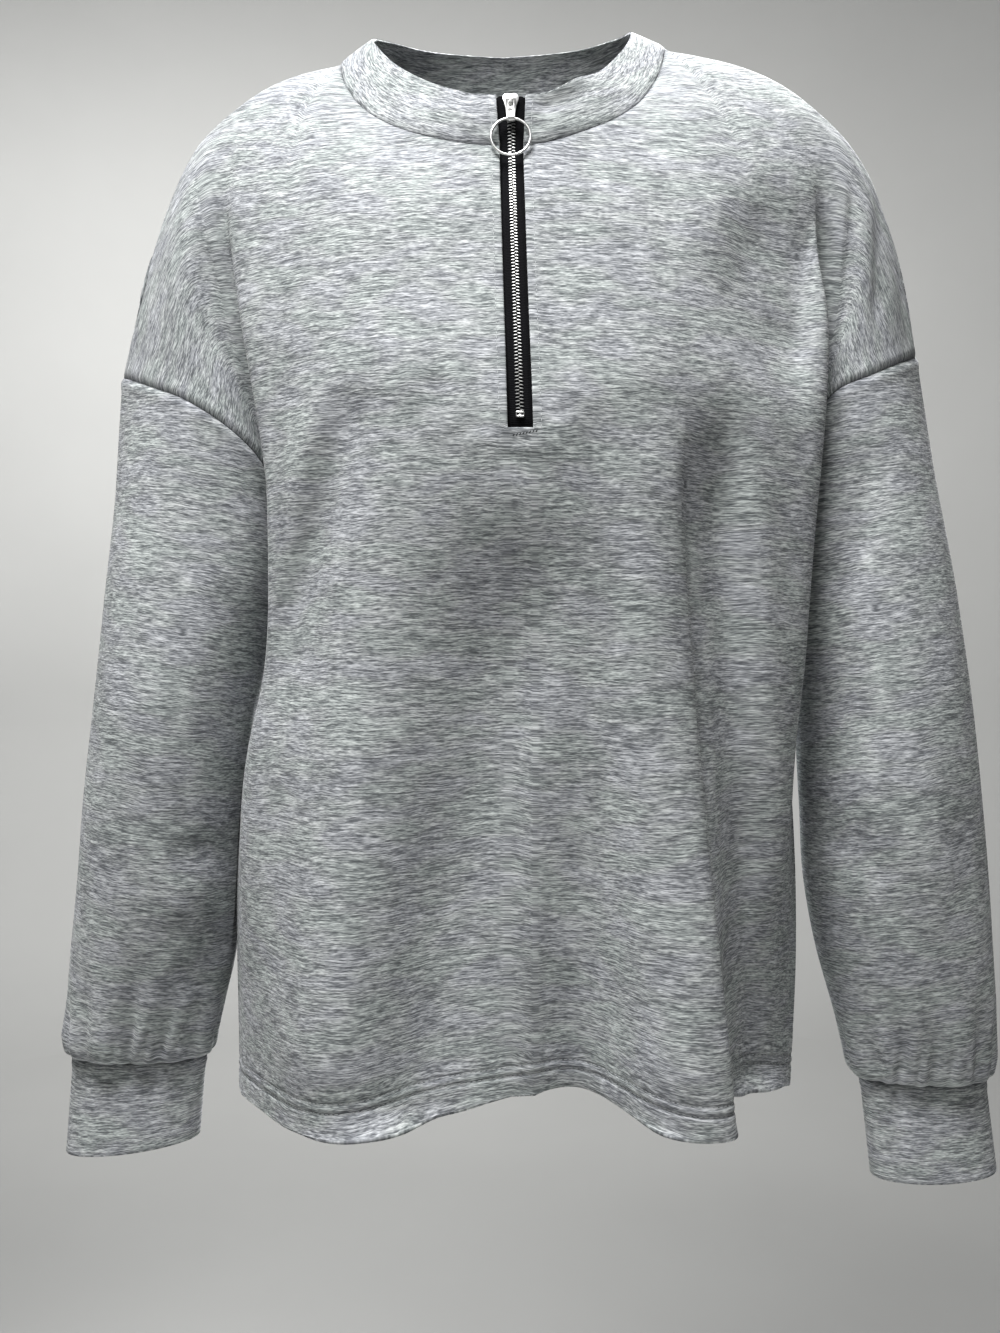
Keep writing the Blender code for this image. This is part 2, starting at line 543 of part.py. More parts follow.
def sleeve_rings(name, loop):
    """Rings of a sleeve, from the armhole loop down to the top of its cuff."""
    side = SIDES[name]
    sign = side["sign"]
    angles = ring_angles(loop)
    levels = column(side["sleeve"], SLEEVE_FIELDS, "level")
    sizes = columns(side["sleeve"], SLEEVE_FIELDS, ("inner_x", "outer_x", "front_y", "back_y"))

    def ring(level):
        inner, outer, front, back = smooth_curve(-levels, sizes, -level)[0]
        centre = (sign * (inner + outer) / 2, -(front + back) / 2, level)
        points = ellipse(centre, (outer - inner) / 2, (front - back) / 2, angles, sign)
        pull = gather_depth(angles, level - levels[-1])[:, None]
        away = points - np.array(centre)
        return points - away / np.linalg.norm(away, axis=1)[:, None] * pull

    first = ring(levels[0])
    slope = (ring(levels[0] - SLOPE_STEP) - first) / SLOPE_STEP
    reach = np.linalg.norm(first - loop, axis=1)[:, None]
    leave = (first - loop) / reach
    leave[:, 2] = np.minimum(leave[:, 2], -LEAST_FALL)
    leave /= np.linalg.norm(leave, axis=1)[:, None]
    rings = [loop]
    for k in range(1, SLEEVE_TOP_ROWS + 1):
        share = np.full(len(loop), k / SLEEVE_TOP_ROWS)
        rings.append(hermite(loop, leave * reach, first, slope * reach, share))
    for level in np.linspace(levels[0], levels[-1], SLEEVE_ROWS + 1)[1:]:
        rings.append(ring(level))
    cuff_top = cuff_ring(name, 0.0, angles)
    full = rings[-1]
    for share, fall in TURN_UNDER:
        turned = full + (cuff_top - full) * share
        turned[:, 2] = full[:, 2] - fall
        rings.append(turned)
    rings.append(cuff_top)
    return np.stack(rings)


def collar_rows():
    """Rows of the collar, from the neck seam up, each from the zip round to the zip."""
    shares = np.concatenate([neck_shares(FRONT_COLUMNS, back=False), [0.5],
                             neck_shares(BACK_COLUMNS, back=True)[::-1]])
    halves = []
    for name in ("right", "left"):
        table = SIDES[name]["neck"]
        stations = column(table, NECK_FIELDS, "share")
        halves.append(smooth_curve(stations, columns(table, NECK_FIELDS, NECK_FIELDS[1:]), shares))
    loop = np.concatenate([halves[0], halves[1][-2::-1]])
    seam, top = loop[:, :3], loop[:, 3:]
    rows = []
    for k in range(COLLAR_ROWS + 1):
        share = k / COLLAR_ROWS
        crown = COLLAR_CROWN * 4 * share * (1 - share)
        points = seam + (top - seam) * share
        points[:, :2] += crown * points[:, :2] / np.linalg.norm(points[:, :2], axis=1)[:, None]
        rows.append(points)
    return np.stack(rows)


# ---------------------------------------------------------------- the joined form
class Form:
    """One joined surface. Each face knows the cut piece that it belongs to."""

    def __init__(self):
        self.points = []
        self.lookup = {}
        self.faces = []
        self.pieces = []
        self.walls = {}

    def vertex(self, point):
        """The number of the point, which pieces that meet there share."""
        key = tuple(np.round(point, 3))
        if key not in self.lookup:
            self.lookup[key] = len(self.points)
            self.points.append(np.array(point, float))
        return self.lookup[key]

    def add_grid(self, piece, grid, outward, wall, closed=False, walls=None):
        """Adds a grid of points as faces that look towards outward, away from its middle."""
        rows, across = grid.shape[:2]
        index = np.array([[self.vertex(point) for point in row] for row in grid])
        for r in range(rows):
            for c in range(across):
                self.walls[(piece, index[r, c])] = walls[r] if walls else wall
        new = []
        for r in range(rows - 1):
            for c in range(across if closed else across - 1):
                n = (c + 1) % across
                corners = (index[r, c], index[r, n], index[r + 1, n], index[r + 1, c])
                face = list(dict.fromkeys(int(i) for i in corners))
                if len(face) >= 3:
                    new.append(face)
        facing = 0.0
        for face in new:
            corners = np.array([self.points[i] for i in face])
            facing += np.dot(area_vector(corners), outward(corners.mean(axis=0)))
        for face in new:
            self.faces.append(face if facing > 0 else face[::-1])
            self.pieces.append(piece)

    def normals(self):
        """The normal at each point: its faces' normals, weighted by their angles there."""
        normals = np.zeros((len(self.points), 3))
        for face in self.faces:
            corners = np.array([self.points[i] for i in face])
            facing = area_vector(corners)
            facing /= np.linalg.norm(facing) + 1e-12
            to_next = np.roll(corners, -1, axis=0) - corners
            to_next /= np.linalg.norm(to_next, axis=1)[:, None] + 1e-12
            to_last = -np.roll(to_next, 1, axis=0)
            angles = np.arccos(np.clip((to_next * to_last).sum(axis=1), -1, 1))
            for i, angle in zip(face, angles):
                normals[i] += facing * angle
        return normals / (np.linalg.norm(normals, axis=1)[:, None] + 1e-12)


def area_vector(corners):
    """The normal of a face, as long as its area."""
    total = np.zeros(3)
    for k in range(1, len(corners) - 1):
        total += np.cross(corners[k] - corners[0], corners[k + 1] - corners[0]) / 2
    return total


def from_axis(x, y):
    """Outward means away from an upright line at x and y."""
    return lambda point: np.array((point[0] - x, point[1] - y, 0.0))


def joined_form():
    """The whole garment as one surface, each face tagged with its piece."""
    form = Form()
    body = from_axis(*BODY_AXIS)
    hem_walls = [JERSEY_WALL] * (DROP_ROWS + SKIRT_ROWS - 1) + [HEM_WALL] * 2
    fronts = {}
    for name in ("right", "left"):
        main, drop = front_half(name)
        fronts[name] = main
        form.add_grid("front", main, body, JERSEY_WALL, walls=hem_walls)
        form.add_grid("front", drop, body, JERSEY_WALL)
        back_main, back_drop = back_half(name)
        form.add_grid("back", back_main, body, JERSEY_WALL, walls=hem_walls)
        form.add_grid("back", back_drop, body, JERSEY_WALL)
        loop = np.concatenate([drop[:, -1], back_drop[-2:0:-1, -1]])
        sleeve = sleeve_rings(name, loop)
        full = SLEEVE_TOP_ROWS + SLEEVE_ROWS
        form.add_grid("sleeve_" + name, sleeve[:full + 1], from_axis(*sleeve[full].mean(axis=0)[:2]),
                      JERSEY_WALL, closed=True)
        form.add_grid("sleeve_" + name, sleeve[full:], lambda point: np.array((0, 0, -1.0)),
                      JERSEY_WALL, closed=True)
        cuff = np.stack([cuff_ring(name, k / CUFF_ROWS, ring_angles(loop))
                         for k in range(CUFF_ROWS + 1)])
        form.add_grid("cuff_" + name, cuff, from_axis(*cuff[0].mean(axis=0)[:2]), CUFF_WALL,
                      closed=True)
    slot_end = YOKE_ROWS + ZIP_ROWS
    strip = np.stack([fronts["right"][slot_end:, 0], fronts["left"][slot_end:, 0]], axis=1)
    form.add_grid("front", strip, body, JERSEY_WALL, walls=hem_walls[slot_end:])
    form.add_grid("collar", collar_rows(), body, COLLAR_WALL)
    return form


def seam_shifts(form, piece, faces, normals, seam_edges):
    """How far each rim vertex of a piece moves in from its seams, along the cloth."""
    constraints = {}
    count = {}
    for face in faces:
        for a, b in zip(face, face[1:] + face[:1]):
            count[frozenset((a, b))] = count.get(frozenset((a, b)), 0) + 1
    for face in faces:
        middle = np.mean([form.points[i] for i in face], axis=0)
        for a, b in zip(face, face[1:] + face[:1]):
            edge = frozenset((a, b))
            if count[edge] != 1:
                continue
            along = form.points[b] - form.points[a]
            along /= np.linalg.norm(along)
            offset = SEAM_GAP / 2 if edge in seam_edges else 0.0
            for i in (a, b):
                inward = middle - form.points[i]
                inward -= along * np.dot(inward, along)
                inward -= normals[i] * np.dot(inward, normals[i])
                inward /= np.linalg.norm(inward) + 1e-12
                constraints.setdefault(i, []).append((inward, offset))
    shifts = {}
    for i, rows in constraints.items():
        matrix = np.array([row[0] for row in rows] + [normals[i]])
        values = np.array([row[1] for row in rows] + [0.0])
        shifts[i] = np.linalg.pinv(matrix, rcond=NEARLY_PARALLEL) @ values
    return shifts


def cloth_solid(form, piece, normals, seam_edges):
    """Closed wall of one cut piece: outer points, inner points and faces, in metres."""
    faces = [f for f, name in zip(form.faces, form.pieces) if name == piece]
    used = sorted({i for face in faces for i in face})
    place = {i: k for k, i in enumerate(used)}
    shifts = seam_shifts(form, piece, faces, normals, seam_edges)
    outer = []
    inner = []
    for i in used:
        point = form.points[i] + shifts.get(i, 0.0)
        outer.append(point)
        inner.append(point - normals[i] * form.walls[(piece, i)])
    solid = [[place[i] for i in face] for face in faces]
    depth = len(used)
    solid += [[place[i] + depth for i in face][::-1] for face in faces]
    directed = {(a, b) for face in faces for a, b in zip(face, face[1:] + face[:1])}
    for a, b in directed:
        if (b, a) in directed:
            continue
        p, q = place[a], place[b]
        if a < b:
            solid += [[q, p, q + depth], [p, p + depth, q + depth]]
        else:
            solid += [[q, p, p + depth], [q, p + depth, q + depth]]
    return np.array(outer + inner) * MM, sorted(solid)


def shared_edges(form):
    """Edges where two different pieces meet."""
    owners = {}
    for face, piece in zip(form.faces, form.pieces):
        for a, b in zip(face, face[1:] + face[:1]):
            owners.setdefault(frozenset((a, b)), set()).add(piece)
    return {edge for edge, names in owners.items() if len(names) > 1}


# ---------------------------------------------------------------- making objects
def material(name):
    """A Principled material with the colour, roughness and metal of its kind."""
    if name in bpy.data.materials:
        return bpy.data.materials[name]
    colour, roughness, metallic = MATERIALS[name]
    made = bpy.data.materials.new(name)
    made.use_nodes = True
    shader = made.node_tree.nodes["Principled BSDF"]
    shader.inputs["Base Color"].default_value = (*colour, 1.0)
    shader.inputs["Roughness"].default_value = roughness
    shader.inputs["Metallic"].default_value = metallic
    made.diffuse_color = (*colour, 1.0)
    return made


def new_object(name, points, faces, finish):
    """A mesh object of the given points, in metres, and faces."""
    mesh = bpy.data.meshes.new(name)
    mesh.from_pydata([tuple(p) for p in points], [], [list(f) for f in faces])
    mesh.update()
    made = bpy.data.objects.new(name, mesh)
    bpy.context.scene.collection.objects.link(made)
    mesh.materials.append(material(finish))
    mesh.shade_smooth()
    mesh.set_sharp_from_angle(angle=math.radians(40))
    return made


def cloth_pieces():
    """Every cut and sewn piece of cloth, each as its own object."""
    form = joined_form()
    normals = form.normals()
    seams = shared_edges(form)
    for piece in dict.fromkeys(form.pieces):
        points, faces = cloth_solid(form, piece, normals, seams)
        new_object(piece, points, faces, "heather_jersey")


# ---------------------------------------------------------------- zip tapes
def zip_frame(level):
    """A point of the zip's middle on the cloth's outer surface, and its down and out directions."""
    depth, middle, _ = zip_values(level)[0]
    below = zip_values(level - 2.0)[0]
    down = np.array((0.0, -(below[0] - depth), -2.0))
    down /= np.linalg.norm(down)
    out = np.array((0.0, down[2], -down[1]))
    return np.array((middle, -depth, level)), down, out


def zip_tape(name):
    """One half of the zip's tape, behind the panel's edge and level with it in the slot."""
    sign = SIDES[name]["sign"]
    top = ZIP_LINE[0][0] - TAPE_START
    forward = np.linspace(top - TAPE_TOP_LENGTH, ZIP_END_LEVEL + 4, TAPE_ROWS)
    levels = np.concatenate([np.linspace(top, forward[0], TAPE_TOP_ROWS + 1), forward[1:],
                             (ZIP_END_LEVEL + 1.2, ZIP_END_LEVEL - TAPE_TUCK)])
    under = COLLAR_WALL + TAPE_CLEARANCE
    rows = []
    for level in levels:
        point, _, out = zip_frame(level)
        slot_half = zip_values(level)[0][2]
        spread = np.clip(1 - (top - level) / TAPE_APART_LENGTH, 0, 1)
        inner = TAPE_MIDDLE_GAP + TAPE_APART * spread
        rise = TAPE_RISE if level >= forward[-1] else 0.0
        (flat, flat_depth), (edge, edge_depth) = TAPE_BEND
        section = ((inner, under - rise), (slot_half + flat, under + flat_depth - rise),
                   (slot_half + edge, under + edge_depth), (TAPE_OUTER, under + TAPE_OUTER_DEPTH))
        ring = [point + np.array((sign * across, 0, 0)) - out * depth for across, depth in section]
        ring += [point + np.array((sign * across, 0, 0)) - out * (depth + TAPE_WALL)
                 for across, depth in section[::-1]]
        rows.append(ring)
    return loft("zip_tape_" + name, np.array(rows), "black_tape", flip=sign > 0)


def loft(name, rows, finish, flip=False):
    """A closed solid through rings of points, with flat ends."""
    count, ring = rows.shape[:2]
    faces = []
    for r in range(count - 1):
        for c in range(ring):
            n = (c + 1) % ring
            faces.append([r * ring + c, r * ring + n, (r + 1) * ring + n, (r + 1) * ring + c])
    faces.append([c for c in range(ring)][::-1])
    faces.append([(count - 1) * ring + c for c in range(ring)])
    if flip:
        faces = [face[::-1] for face in faces]
    return new_object(name, rows.reshape(-1, 3) * MM, faces, finish)


# ---------------------------------------------------------------- zip hardware
def hardware_frame():
    """Origin at the slider's top in the middle of the tape, with its across, down and out."""
    point, down, out = zip_frame(ZIP_LINE[0][0])
    tape_middle = COLLAR_WALL + TAPE_CLEARANCE - TAPE_RISE + TAPE_WALL / 2
    return point - out * tape_middle, np.array((1.0, 0.0, 0.0)), down, out


def in_world(local):
    """World points, in metres, of points given across, down the zip and out from the tape."""
    origin, across, down, out = hardware_frame()
    local = np.asarray(local, float)
    return (origin + local[:, :1] * across + local[:, 1:2] * down + local[:, 2:] * out) * MM


def extruded(outline, low, high):
    """A temporary plate: an outline of across and down points between two heights."""
    return prism([(a, d, low) for a, d in outline] + [(a, d, high) for a, d in outline])


def prism(rings):
    """A temporary solid between two equal rings of points, one listed after the other."""
    count = len(rings) // 2
    faces = [list(range(count)), [count + k for k in range(count)][::-1]]
    for k in range(count):
        n = (k + 1) % count
        faces.append([n, k, k + count, n + count])
    return temporary(in_world(rings), faces)


def cross_bar(radius, half_width, down_at, out_at):
    """A temporary round bar that lies across the zip."""
    ring = []
    for across in (-half_width, half_width):
        for k in range(BAR_SIDES):
            turn = 2 * math.pi * k / BAR_SIDES
            ring.append((across, down_at + radius * math.cos(turn), out_at + radius * math.sin(turn)))
    return prism(ring)


def temporary(points, faces):
    """A mesh object that is joined to or cut from another, then removed."""
    mesh = bpy.data.meshes.new("temporary")
    mesh.from_pydata([tuple(p) for p in points], [], faces)
    made = bpy.data.objects.new("temporary", mesh)
    bpy.context.scene.collection.objects.link(made)
    shape = bmesh.new()
    shape.from_mesh(mesh)
    bmesh.ops.recalc_face_normals(shape, faces=shape.faces)
    shape.to_mesh(mesh)
    shape.free()
    return made


def combined(name, solids, cutters, finish):
    """One object: the union of the solids, less the cutters."""
    base = solids[0]
    for other, operation in [(s, "UNION") for s in solids[1:]] + [(c, "DIFFERENCE") for c in cutters]:
        step = base.modifiers.new(operation, "BOOLEAN")
        step.operation = operation
        step.object = other
    bpy.context.view_layer.update()
    mesh = bpy.data.meshes.new_from_object(base.evaluated_get(bpy.context.evaluated_depsgraph_get()))
    for used in solids + cutters:
        bpy.data.objects.remove(used, do_unlink=True)
    mesh.name = name
    mesh.materials.clear()
    mesh.materials.append(material(finish))
    made = bpy.data.objects.new(name, mesh)
    bpy.context.scene.collection.objects.link(made)
    mesh.shade_smooth()
    mesh.set_sharp_from_angle(angle=math.radians(35))
    return made


def mirrored(half, inset=0.0):
    """A whole outline from its right half, which may be drawn in by inset."""
    right = [(max(across - inset, 0.0), down) for across, down in half]
    return right + [(-across, down) for across, down in right[:0:-1] if across > 0]


def block(half_width, upper, lower, low, high):
    """A temporary upright block between two drops down the zip and two heights."""
    outline = [(-half_width, upper), (half_width, upper), (half_width, lower), (-half_width, lower)]
    return extruded(outline, low, high)


def zip_slider():
    """Front and back plates, the post between them and the crown that holds the link."""
    inside = PLATE_SPACE / 2
    front = extruded(mirrored(SLIDER_OUTLINE), inside, inside + PLATE_WALL)
    back = extruded(mirrored(SLIDER_OUTLINE, BACK_PLATE_INSET), -inside - PLATE_WALL, -inside)
    post = extruded(mirrored(POST_OUTLINE), -inside - MERGE, inside + MERGE)
    base = inside + PLATE_WALL - MERGE
    top = link_pin()[1] + LINK_PIN_RADIUS + CROWN_ROOM
    upper_leg = block(CROWN_HALF_WIDTH, CROWN_TOP, CROWN_TOP + CROWN_LEG, base, top + MERGE)
    lower_leg = block(CROWN_HALF_WIDTH, CROWN_BOTTOM - CROWN_LEG, CROWN_BOTTOM, base, top + MERGE)
    arch = block(CROWN_HALF_WIDTH, CROWN_TOP, CROWN_BOTTOM, top, top + CROWN_WALL)
    return combined("zip_slider", [front, back, post, upper_leg, lower_leg, arch], [],
                    "silver_metal")


def link_pin():
    """Where the link turns: down the zip and out from the tape."""
    return LINK_PIN_DROP, PLATE_SPACE / 2 + PLATE_WALL + LINK_LIFT + LINK_PIN_RADIUS


def pull_link():
    """The link: a pin under the crown, a short plate with a window, and the eye for the ring."""
    drop, height = link_pin()
    low = height - LINK_PIN_RADIUS
    high = low + LINK_WALL
    half = LINK_HALF_WIDTH
    outline = ((half, drop), (half, drop + LINK_SHOULDER_DROP), (EYE_HALF_WIDTH, EYE_DROP - MERGE))
    plate = extruded([*outline, *((-across, down) for across, down in outline[::-1])], low, high)
    pin = cross_bar(LINK_PIN_RADIUS, half, drop, height)
    eye = cross_bar(EYE_OUTER, EYE_HALF_WIDTH, EYE_DROP, high + EYE_LIFT)
    window = block(*LINK_WINDOW, low - 1, high + 1)
    slot = block(*LINK_SLOT, low - 1, high + 1)
    hole = cross_bar(EYE_HOLE, EYE_HALF_WIDTH + 1, EYE_DROP, high + EYE_LIFT)
    return combined("pull_link", [plate, pin, eye], [window, slot, hole], "silver_metal")


def ring_centre():
    """Where the ring turns in the link's eye, in metres."""
    drop, height = link_pin()
    high = height - LINK_PIN_RADIUS + LINK_WALL
    return in_world([(0.0, EYE_DROP, high + EYE_LIFT)])[0]


def pull_ring():
    """The round wire ring, hanging from the link's eye."""
    lean = np.array((0.0, -math.sin(RING_LEAN), -math.cos(RING_LEAN)))
    face = np.array((0.0, -math.cos(RING_LEAN), math.sin(RING_LEAN)))
    across = np.array((1.0, 0.0, 0.0))
    sag = RING_RADIUS - math.sqrt(RING_RADIUS ** 2 - EYE_HALF_WIDTH ** 2)
    middle = ring_centre() / MM + lean * (RING_RADIUS - sag / 2)
    points = []
    faces = []
    for k in range(RING_STEPS):
        turn = 2 * math.pi * (k + 0.5) / RING_STEPS
        radial = across * math.sin(turn) - lean * math.cos(turn)
        here = k * WIRE_SIDES
        following = (k + 1) % RING_STEPS * WIRE_SIDES
        for j in range(WIRE_SIDES):
            tilt = 2 * math.pi * j / WIRE_SIDES
            points.append(middle + radial * (RING_RADIUS + RING_WIRE * math.cos(tilt))
                          + face * RING_WIRE * math.sin(tilt))
            n = (j + 1) % WIRE_SIDES
            faces.append([here + j, here + n, following + n, following + j])
    return new_object("pull_ring", np.array(points) * MM, faces, "silver_metal")


def zip_stop():
    """The small metal stop across both tapes, below the last tooth."""
    point, down, out = zip_frame(STOP_LEVEL)
    tape_face = TAPE_RISE - COLLAR_WALL - TAPE_CLEARANCE
    corners = []
    for height in (tape_face + STOP_SINK, tape_face + STOP_SINK + STOP_HEIGHT):
        for across, along in ((-1, -1), (1, -1), (1, 1), (-1, 1)):
            corners.append(point + np.array((across * STOP_HALF_WIDTH, 0, 0))
                           + down * along * STOP_HALF_LENGTH + out * height)
    faces = [[0, 1, 2, 3], [7, 6, 5, 4], [1, 0, 4, 5], [2, 1, 5, 6], [3, 2, 6, 7], [0, 3, 7, 4]]
    made = new_object("zip_stop", np.array(corners) * MM, faces, "silver_metal")
    shape = bmesh.new()
    shape.from_mesh(made.data)
    bmesh.ops.recalc_face_normals(shape, faces=shape.faces)
    bmesh.ops.bevel(shape, geom=shape.edges[:], offset=STOP_ROUNDING * MM, segments=2, affect="EDGES")
    shape.to_mesh(made.data)
    shape.free()
    return made


def main():
    for old in list(bpy.data.objects):
        bpy.data.objects.remove(old, do_unlink=True)
    cloth_pieces()
    zip_tape("right")
    zip_tape("left")
    zip_slider()
    zip_stop()
    pull_link()
    pull_ring()


main()
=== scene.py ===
"""The looks of the quarter zip sweatshirt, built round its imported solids.

The cloth is drawn again from the same sections as the solids, many times finer, then given its
folds, seams, hem stitching and rolled edges. Metres in the scene, millimetres in the tables.
"""
import math

import bpy
import bmesh
import numpy as np
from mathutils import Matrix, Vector, kdtree


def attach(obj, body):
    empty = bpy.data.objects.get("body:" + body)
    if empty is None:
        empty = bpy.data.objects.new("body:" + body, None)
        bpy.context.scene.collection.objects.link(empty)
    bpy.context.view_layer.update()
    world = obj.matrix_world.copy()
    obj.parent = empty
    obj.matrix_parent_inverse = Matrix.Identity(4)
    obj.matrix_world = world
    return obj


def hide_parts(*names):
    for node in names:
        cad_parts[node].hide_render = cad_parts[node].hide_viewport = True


MM = 0.001

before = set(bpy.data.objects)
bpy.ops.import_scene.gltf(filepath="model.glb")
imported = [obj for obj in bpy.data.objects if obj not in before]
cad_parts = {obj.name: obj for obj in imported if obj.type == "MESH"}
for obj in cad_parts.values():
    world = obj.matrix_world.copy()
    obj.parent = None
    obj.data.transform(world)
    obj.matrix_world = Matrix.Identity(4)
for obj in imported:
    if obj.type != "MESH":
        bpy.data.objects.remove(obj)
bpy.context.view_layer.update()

# ---------------------------------------------------------------- sizes
JERSEY_WALL = 1.7
HEM_WALL = 2.6
COLLAR_WALL = 2.0
CUFF_WALL = 2.2
TAPE_WALL = 0.7
TAPE_CLEARANCE = 0.4

CHEST_LEVEL = -130.0
UNDERARM_LEVEL = -300.0
SIDE_HEM_LEVEL = -646.0
ZIP_END_LEVEL = -254.0
HEM_BAND = 26.0

# How finely each stretch is divided.
YOKE_ROWS = 40
ZIP_ROWS = 48
ARMPIT_ROWS = 24
SKIRT_ROWS = 96
HEM_ROWS = 26
FRONT_NECK_COLUMNS = 44
BACK_NECK_COLUMNS = 38
SHOULDER_COLUMNS = 32
DROP_COLUMNS = 26
STRIP_COLUMNS = 6
SLEEVE_TOP_ROWS = 34
SLEEVE_ROWS = 84
TURN_ROWS = 10
CUFF_ROWS = 22
COLLAR_ROWS = 16
DROP_ROWS = YOKE_ROWS + ZIP_ROWS + ARMPIT_ROWS
SLOT_END_ROW = YOKE_ROWS + ZIP_ROWS
HEM_TOP_ROW = DROP_ROWS + SKIRT_ROWS
SEAM_TURN_ROWS = 24

# How much closer rows and columns stand near a seam or an edge.
SEAM_CLOSENESS = 1.35
MIDDLE_CLOSENESS = 0.9
JOIN_CLOSENESS = 0.3
DROP_CLOSENESS = 0.7
COLLAR_CLOSENESS = 0.5

BODY_AXIS = (5.0, 0.0)
BACK_MIDDLE_TOP = -4.0
BACK_MIDDLE_HEM = 8.0
ARM_SLOPE = np.array((0.12, 0.05, -0.99))
LEAST_FALL = 0.6
SLOPE_STEP = 7.0
COLLAR_CROWN = 1.2
# Where the direction is read in which the main part runs into the dropped part, across a half
# panel and along the shoulder seam.
JOIN_READ = 0.94
SEAM_READ = 1 / 6
# A sleeve's turn under itself: shares of the way in to the cuff and down to its top.
TURN_FIELDS = ("step", "inward", "fall")
TURN_UNDER = ((0, 0.0, 0.0), (1, 0.22, 0.68), (2, 0.68, 0.95), (3, 1.0, 1.0))


# Share of the way across a half panel at which each named column of a section stands.
FRONT_STATIONS = {"centre": 0.0, "inner": 0.12, "lobe": 0.30, "flank": 0.48, "dip": 0.62,
                  "edge": 0.78, "valley": 0.90, "join": 1.0}
BACK_STATIONS = {"centre": 0.0, "blade": 0.30, "outer": 0.55, "flank": 0.80, "join": 1.0}
NECK_COLUMN = 0.55

# Sections of a front half, from the chest to the hem. Distances go out from the middle and
# forward. The cloth swings out to a lobe, dips, turns over a fold edge and goes in to a valley.
FRONT_FIELDS = ("level", "centre_y", "inner_x", "inner_y", "lobe_x", "lobe_y", "flank_x", "flank_y",
                "dip_x", "dip_y", "edge_x", "edge_y", "valley_x", "valley_y", "join_x", "join_y")
FRONT_RIGHT = (
    (-130, 90, 30, 89, 70, 85, 112, 73, 145, 58, 167, 46, 168, 34, 178, 33),
    (-180, 104, 30, 102.5, 68, 97, 108, 84, 140, 67, 161, 51, 157, 30, 168, 28),
    (-230, 115, 30, 113, 67, 107, 105, 91, 134, 71, 152, 54, 144, 22, 152, 18),
    (-280, 117.5, 30, 115.5, 66, 109, 102, 92, 129, 72, 144, 54, 131, 15, 133, 6),
    (-300, 116, 30, 114, 66, 108, 101, 91, 128, 71, 142.5, 53, 131, 13, 128, 0),
    (-340, 111, 30, 110, 66, 106, 100, 90, 126, 70, 139.5, 50, 134, 18, 131, 0),
    (-380, 108, 31, 107.5, 68, 106, 103, 90, 128, 70, 142, 50, 142, 24, 142, 0),
    (-430, 105, 32, 106.5, 73, 108, 111, 93, 135, 72, 149, 50, 153, 26, 155, 0),
    (-500, 101, 33, 107, 79, 114, 118, 95, 139, 71, 152, 48, 158, 26, 163, 0),
    (-560, 98, 32, 109, 83, 120, 121, 96, 141, 67, 154, 43, 161, 23, 167, 0),
    (-646, 97, 31, 113, 86, 127, 122, 97, 144, 62, 157, 38, 165, 18, 169, 0),
)
FRONT_LEFT = (
    (-130, 90, 36, 88.5, 75, 84, 125, 71, 160, 58, 190, 44, 189, 32, 200, 30),
    (-180, 104, 36, 102, 75, 97, 125, 83, 162, 66, 193, 48, 187, 28, 196, 26),
    (-230, 115, 36, 113, 76, 106, 125, 88, 161, 69, 190, 50, 173, 21, 181, 18),
    (-280, 117.5, 36, 115, 76, 108, 125, 90, 158, 71, 185, 50, 155, 14, 156, 6),
    (-300, 116, 36, 114, 76, 107, 124, 90, 156, 71, 183, 50, 151, 15, 150, 0),
    (-340, 111, 36, 110, 76, 106, 122, 91, 153, 72, 180, 50, 156, 19, 154, 0),
    (-380, 108, 36, 106.5, 77, 106, 120, 93, 150, 73, 177, 50, 163, 22, 162, 0),
    (-430, 105, 36, 102, 78, 108, 120, 97, 146, 75, 170, 50, 168, 26, 173, 0),
    (-500, 100, 37, 92, 82, 112, 119, 106, 140, 80, 162, 56, 170, 28, 179, 0),
    (-560, 96, 38, 84, 86, 118, 122, 112, 133, 86, 152, 64, 168, 31, 180, 0),
    (-646, 91, 40, 75, 82, 122, 120, 121, 131, 86, 146, 62, 163, 34, 176, 0),
)
BACK_FIELDS = ("level", "centre_y", "blade_x", "blade_y", "outer_x", "outer_y", "flank_x",
               "flank_y", "join_x", "join_y")
BACK_RIGHT = (
    (-130, -86, 70, -88, 117, -81, 152, -66, 178, -47),
    (-180, -90, 66, -93, 112, -87, 148, -70, 165, -53),
    (-230, -93, 62, -96, 108, -89, 143, -69, 150, -46),
    (-280, -95, 58, -98, 105, -89, 140, -64, 133, -25),
    (-300, -96, 56, -99, 104, -89, 139, -62, 128, 0),
    (-340, -98, 55, -100, 104, -88, 138, -58, 131, 0),
    (-380, -99, 55, -102, 106, -88, 143, -56, 142, 0),
    (-430, -101, 56, -103, 111, -91, 150, -55, 155, 0),
    (-500, -103, 58, -107, 116, -95, 155, -55, 163, 0),
    (-560, -104, 60, -111, 120, -99, 158, -56, 167, 0),
    (-646, -105, 62, -116, 124, -104, 160, -57, 169, 0),
)
BACK_LEFT = (
    (-130, -86, 66, -88, 116, -82, 165, -66, 198, -46),
    (-180, -90, 65, -93, 116, -88, 164, -70, 190, -53),
    (-230, -93, 64, -96, 117, -90, 162, -69, 173, -46),
    (-280, -95, 63, -98, 117, -90, 161, -64, 155, -25),
    (-300, -96, 62, -99, 117, -89, 161, -62, 150, 0),
    (-340, -98, 61, -100, 117, -89, 161, -59, 154, 0),
    (-380, -99, 61, -102, 118, -89, 163, -58, 162, 0),
    (-430, -101, 62, -104, 121, -92, 167, -57, 173, 0),
    (-500, -103, 64, -108, 126, -97, 170, -57, 179, 0),
    (-560, -104, 66, -112, 129, -101, 169, -58, 180, 0),
    (-646, -105, 68, -117, 131, -106, 167, -59, 176, 0),
)

